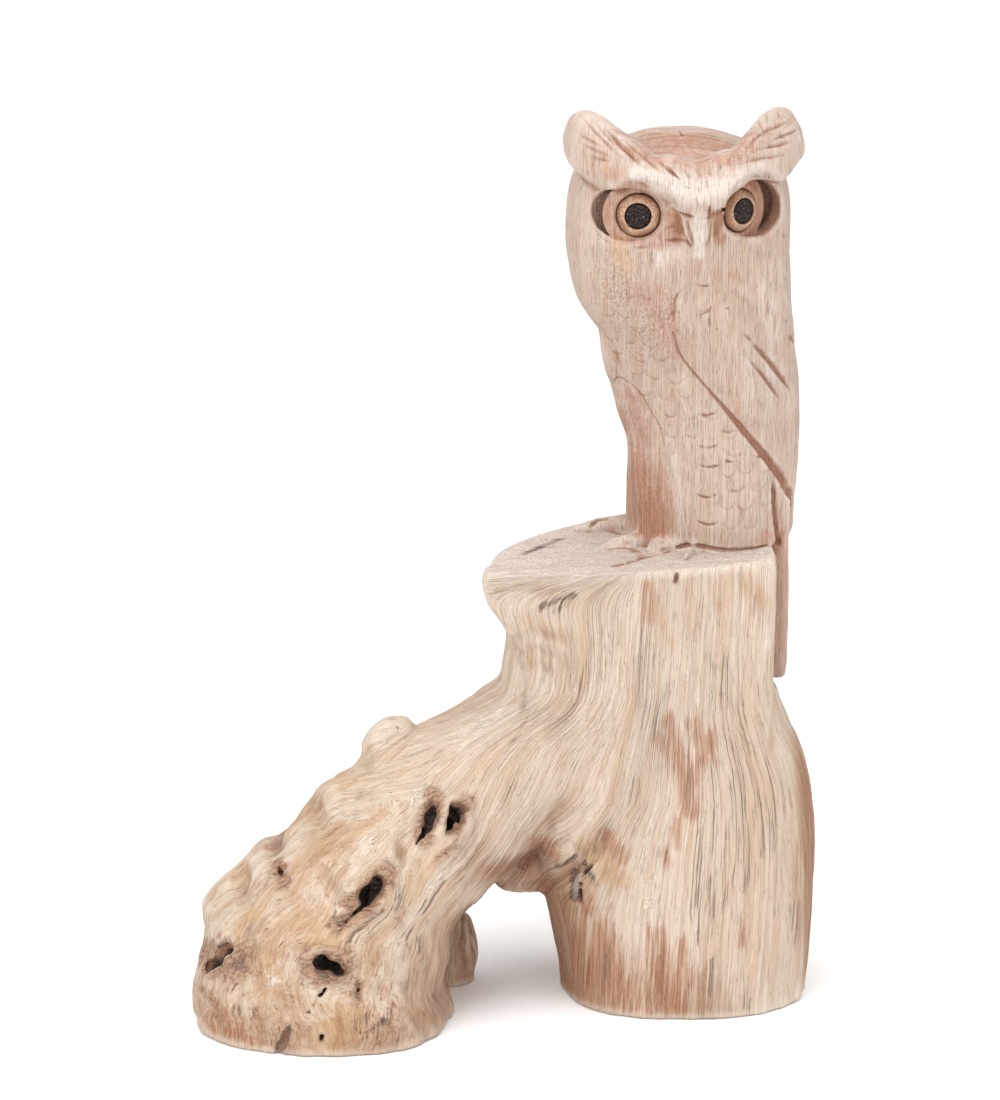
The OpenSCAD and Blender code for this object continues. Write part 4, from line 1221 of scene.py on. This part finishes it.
def iris_wood():
    s = Shade("turned_iris_wood")
    g, radius = s.attribute("grain", True), s.attribute("radius")
    fibres = s.noise(s.stretch(g, (1.7, 1.7, 0.4)), detail=4, rough=0.65)
    dots = s.noise(s.stretch(g, (1.6, 1.6, 1.6)), detail=5, rough=0.72)
    blot = s.times(s.add(s.noise(s.stretch(g, (0.22, 0.22, 0.25)), detail=4), -0.5), 5.0)
    # tan wood growing browner outward, partly painted shade on the sloping bevel
    c = s.between(s.add(radius, blot), 4.6, 6.6, rgb(222, 184, 154), rgb(168, 122, 94))
    c = s.layer(c, fibres, 0.45, 0.62, 0.6, rgb(150, 102, 76))
    c = s.layer(c, dots, 0.52, 0.62, 0.7, rgb(120, 78, 56))
    # painted shadow of the gap round the iris
    c = s.layer(c, s.add(radius, s.times(blot, 0.2)), 6.35, 6.95, 1, rgb(92, 60, 44))
    # painted shade where the lip turns down beside the pupil
    c = s.layer(c, radius, 4.5, 4.2, 1, rgb(104, 70, 52))
    n = s.bump(s.add(fibres, s.times(dots, 0.8)), 0.0006, 0.8)
    return s.finish(c, s.ramp(fibres, 0.3, 0.7, 0.6, 0.8), n)


def pupil_wood():
    s = Shade("dark_pupil_wood")
    g = s.attribute("grain", True)
    cells = s.new("TexVoronoi", {"Vector": s.stretch(g, (1.1, 1.1, 1.1)), "Scale": 1.0}, feature="F1")
    dots = s.noise(s.stretch(g, (1.2, 1.2, 1.2)), detail=6, rough=0.78)
    c = s.between(dots, 0.40, 0.60, rgb(26, 19, 17), rgb(66, 52, 47))
    c = s.mix(s.times(s.ramp(dots, 0.54, 0.62), s.ramp(cells, 0.55, 0.2)), c, rgb(170, 150, 136))
    n = s.bump(s.add(dots, cells), 0.0008, 0.9)
    return s.finish(c, s.ramp(dots, 0.3, 0.7, 0.5, 0.75), n, 0.2)


# ---------------------------------------------------------------- the eyes' turned plugs

def lathe(name, eye, profile, wobble, material, node, phase):
    """A turned plug on an eye's axis, a little out of round. Profile: (radius, height)."""
    origin, across, look = eye
    prof = np.array(profile, float)
    rings, sides = len(prof), 96
    angle = np.linspace(0, 2 * np.pi, sides, endpoint=False)
    waves = np.sin(2 * angle + phase) + 0.6 * np.sin(3 * angle + 2 * phase)
    waves = waves + 0.35 * np.sin(7 * angle + phase)
    r = prof[:, 0][:, None] * (1 + wobble * waves)[None]
    h = np.broadcast_to(prof[:, 1][:, None], r.shape).copy()
    u, v = r * np.cos(angle), r * np.sin(angle)
    face = prof[:, 1][:, None] > -0.6
    flat = np.stack([u, v, h], -1).reshape(-1, 3)
    h += (0.10 * layered(flat + 13 * phase, 1.4, 2)).reshape(h.shape) * face
    co = origin + u[..., None] * across + v[..., None] * np.array([0, 0, 1.0]) + h[..., None] * look
    co = co.reshape(-1, 3)
    i = np.arange(rings - 1)[:, None] * sides
    j = np.arange(sides)[None]
    k = (j + 1) % sides
    quads = np.stack([i + j, i + k, i + sides + k, i + sides + j], -1).reshape(-1, 4)
    centre = (co[quads].mean(1) - (origin - 4 * look))
    normal = np.cross(co[quads[:, 2]] - co[quads[:, 0]], co[quads[:, 3]] - co[quads[:, 1]])
    outer = np.argmax(np.broadcast_to(prof[:-1, 0][:, None], (rings - 1, sides)).reshape(-1))
    if normal[outer] @ centre[outer] < 0:
        quads = quads[:, ::-1]
    values = {"grain": np.stack([u.ravel(), v.ravel(), h.ravel()], 1) + 20 * phase,
              "radius": np.broadcast_to(prof[:, 0][:, None], r.shape).ravel()}
    return piece(name, co, quads, values, material, node)


def fine(profile, step):
    """The profile with its long sides split, so that roughness has vertices to move."""
    out = [profile[0]]
    for a, b in zip(profile[:-1], profile[1:]):
        n = max(1, int(math.ceil(math.dist(a, b) / step)))
        out += [(a[0] + (b[0] - a[0]) * t / n, a[1] + (b[1] - a[1]) * t / n) for t in range(1, n + 1)]
    return out


RING = table("""
    0.02 -9, 6.6 -9, 7 -8.6, 7 -1, 6.9 -0.5, 6.4 0.05, 5.5 0.75, 4.9 1.15, 4.45 1.2, 4.25 1,
    4.2 0.5, 4.2 -4, 0.02 -4""")[0]
PEG = table("0.02 -4, 3.8 -4, 4 -3.8, 4 0.55, 3.85 0.9, 3.4 1.1, 2.4 1.2, 1.2 1.25, 0.02 1.25")[0]


def add_eyes():
    iris, pupil = iris_wood(), pupil_wood()
    ring, peg = fine(RING, 0.45), fine(PEG, 0.35)
    for side, phase in (("left", 0.7), ("right", 2.1)):
        lathe("iris_" + side, EYES[side], ring, 0.008, iris, side + "_iris", phase)
        lathe("pupil_" + side, EYES[side], peg, 0.018, pupil, side + "_pupil", phase)


# ---------------------------------------------------------------- studio

def add_camera():
    target = Vector((STUMP_LO[0] + 103.1, STUMP_LO[1] + 75.7, 150)) * MM
    down = math.radians(CAMERA_DOWN)
    data = bpy.data.cameras.new("camera")
    data.lens, data.sensor_width, data.clip_end = CAMERA_LENS, 36, 30
    ob = bpy.data.objects.new("camera", data)
    ob.location = target + CAMERA_DISTANCE * Vector((0, -math.cos(down), math.sin(down)))
    ob.rotation_euler = (math.pi / 2 - down, 0, 0)
    bpy.context.scene.collection.objects.link(ob)
    bpy.context.scene.camera = ob


def add_floor():
    me = bpy.data.meshes.new("floor")
    r = FLOOR_HALF
    me.from_pydata([(-r, -r, 0), (r, -r, 0), (r, r, 0), (-r, r, 0)], [], [(0, 1, 2, 3)])
    s = Shade("floor_paper")
    grain = s.noise(s.new("TexCoord", out=3), 60, 3)
    paper = s.between(grain, 0.3, 0.7, rgb(246, 246, 247, 0.98), rgb(248, 248, 248, 0.98))
    s.finish(paper, 0.9, s.bump(grain, 0.0001, 0.1), 0.1)
    me.materials.append(s.mat)
    ob = bpy.data.objects.new("floor", me)
    bpy.context.scene.collection.objects.link(ob)


def add_light(name, place, aim, size, power):
    data = bpy.data.lights.new(name, "AREA")
    data.shape, data.size, data.size_y = "RECTANGLE", size, size
    data.energy = power
    ob = bpy.data.objects.new(name, data)
    ob.location = place
    ob.rotation_euler = (Vector(aim) - Vector(place)).to_track_quat("-Z", "Y").to_euler()
    bpy.context.scene.collection.objects.link(ob)


def add_lights():
    world = bpy.data.worlds.new("studio")
    world.use_nodes = True
    sky = world.node_tree.nodes["Background"]
    sky.inputs["Color"].default_value = (1, 1, 1, 1)
    sky.inputs["Strength"].default_value = 1.0
    bpy.context.scene.world = world
    bpy.context.scene.view_settings.view_transform = "Standard"
    add_light("key", (-1.2, -1.5, 1.5), (0, 0, 0.14), 1.3, 26)
    add_light("fill", (1.3, -1.6, 0.7), (0, 0, 0.14), 1.3, 9)
    add_light("top", (0.1, -0.2, 1.9), (0, 0, 0.1), 1.4, 15)


# ---------------------------------------------------------------- putting it together

def add_carved(name, carve, describe, rounds, material, node):
    """Carves a node's wood and makes its skin a piece, with what each vertex knows."""
    wood, before = carve()
    co, quads = wood.skin()
    calm, turn = calmed(co, quads, rounds)
    values = describe(wood, before, co, vertex_normals(co, quads), calm, turn)
    piece(name, co, quads, values, material(), node)


add_camera()
add_floor()
add_lights()
add_carved("stump_weathered", weather_stump, stump_values, 30, stump_wood, "root_stump")
add_carved("owl_carved", carve_owl, owl_values, 16, owl_wood, "owl")
add_eyes()

bpy.context.view_layer.update()
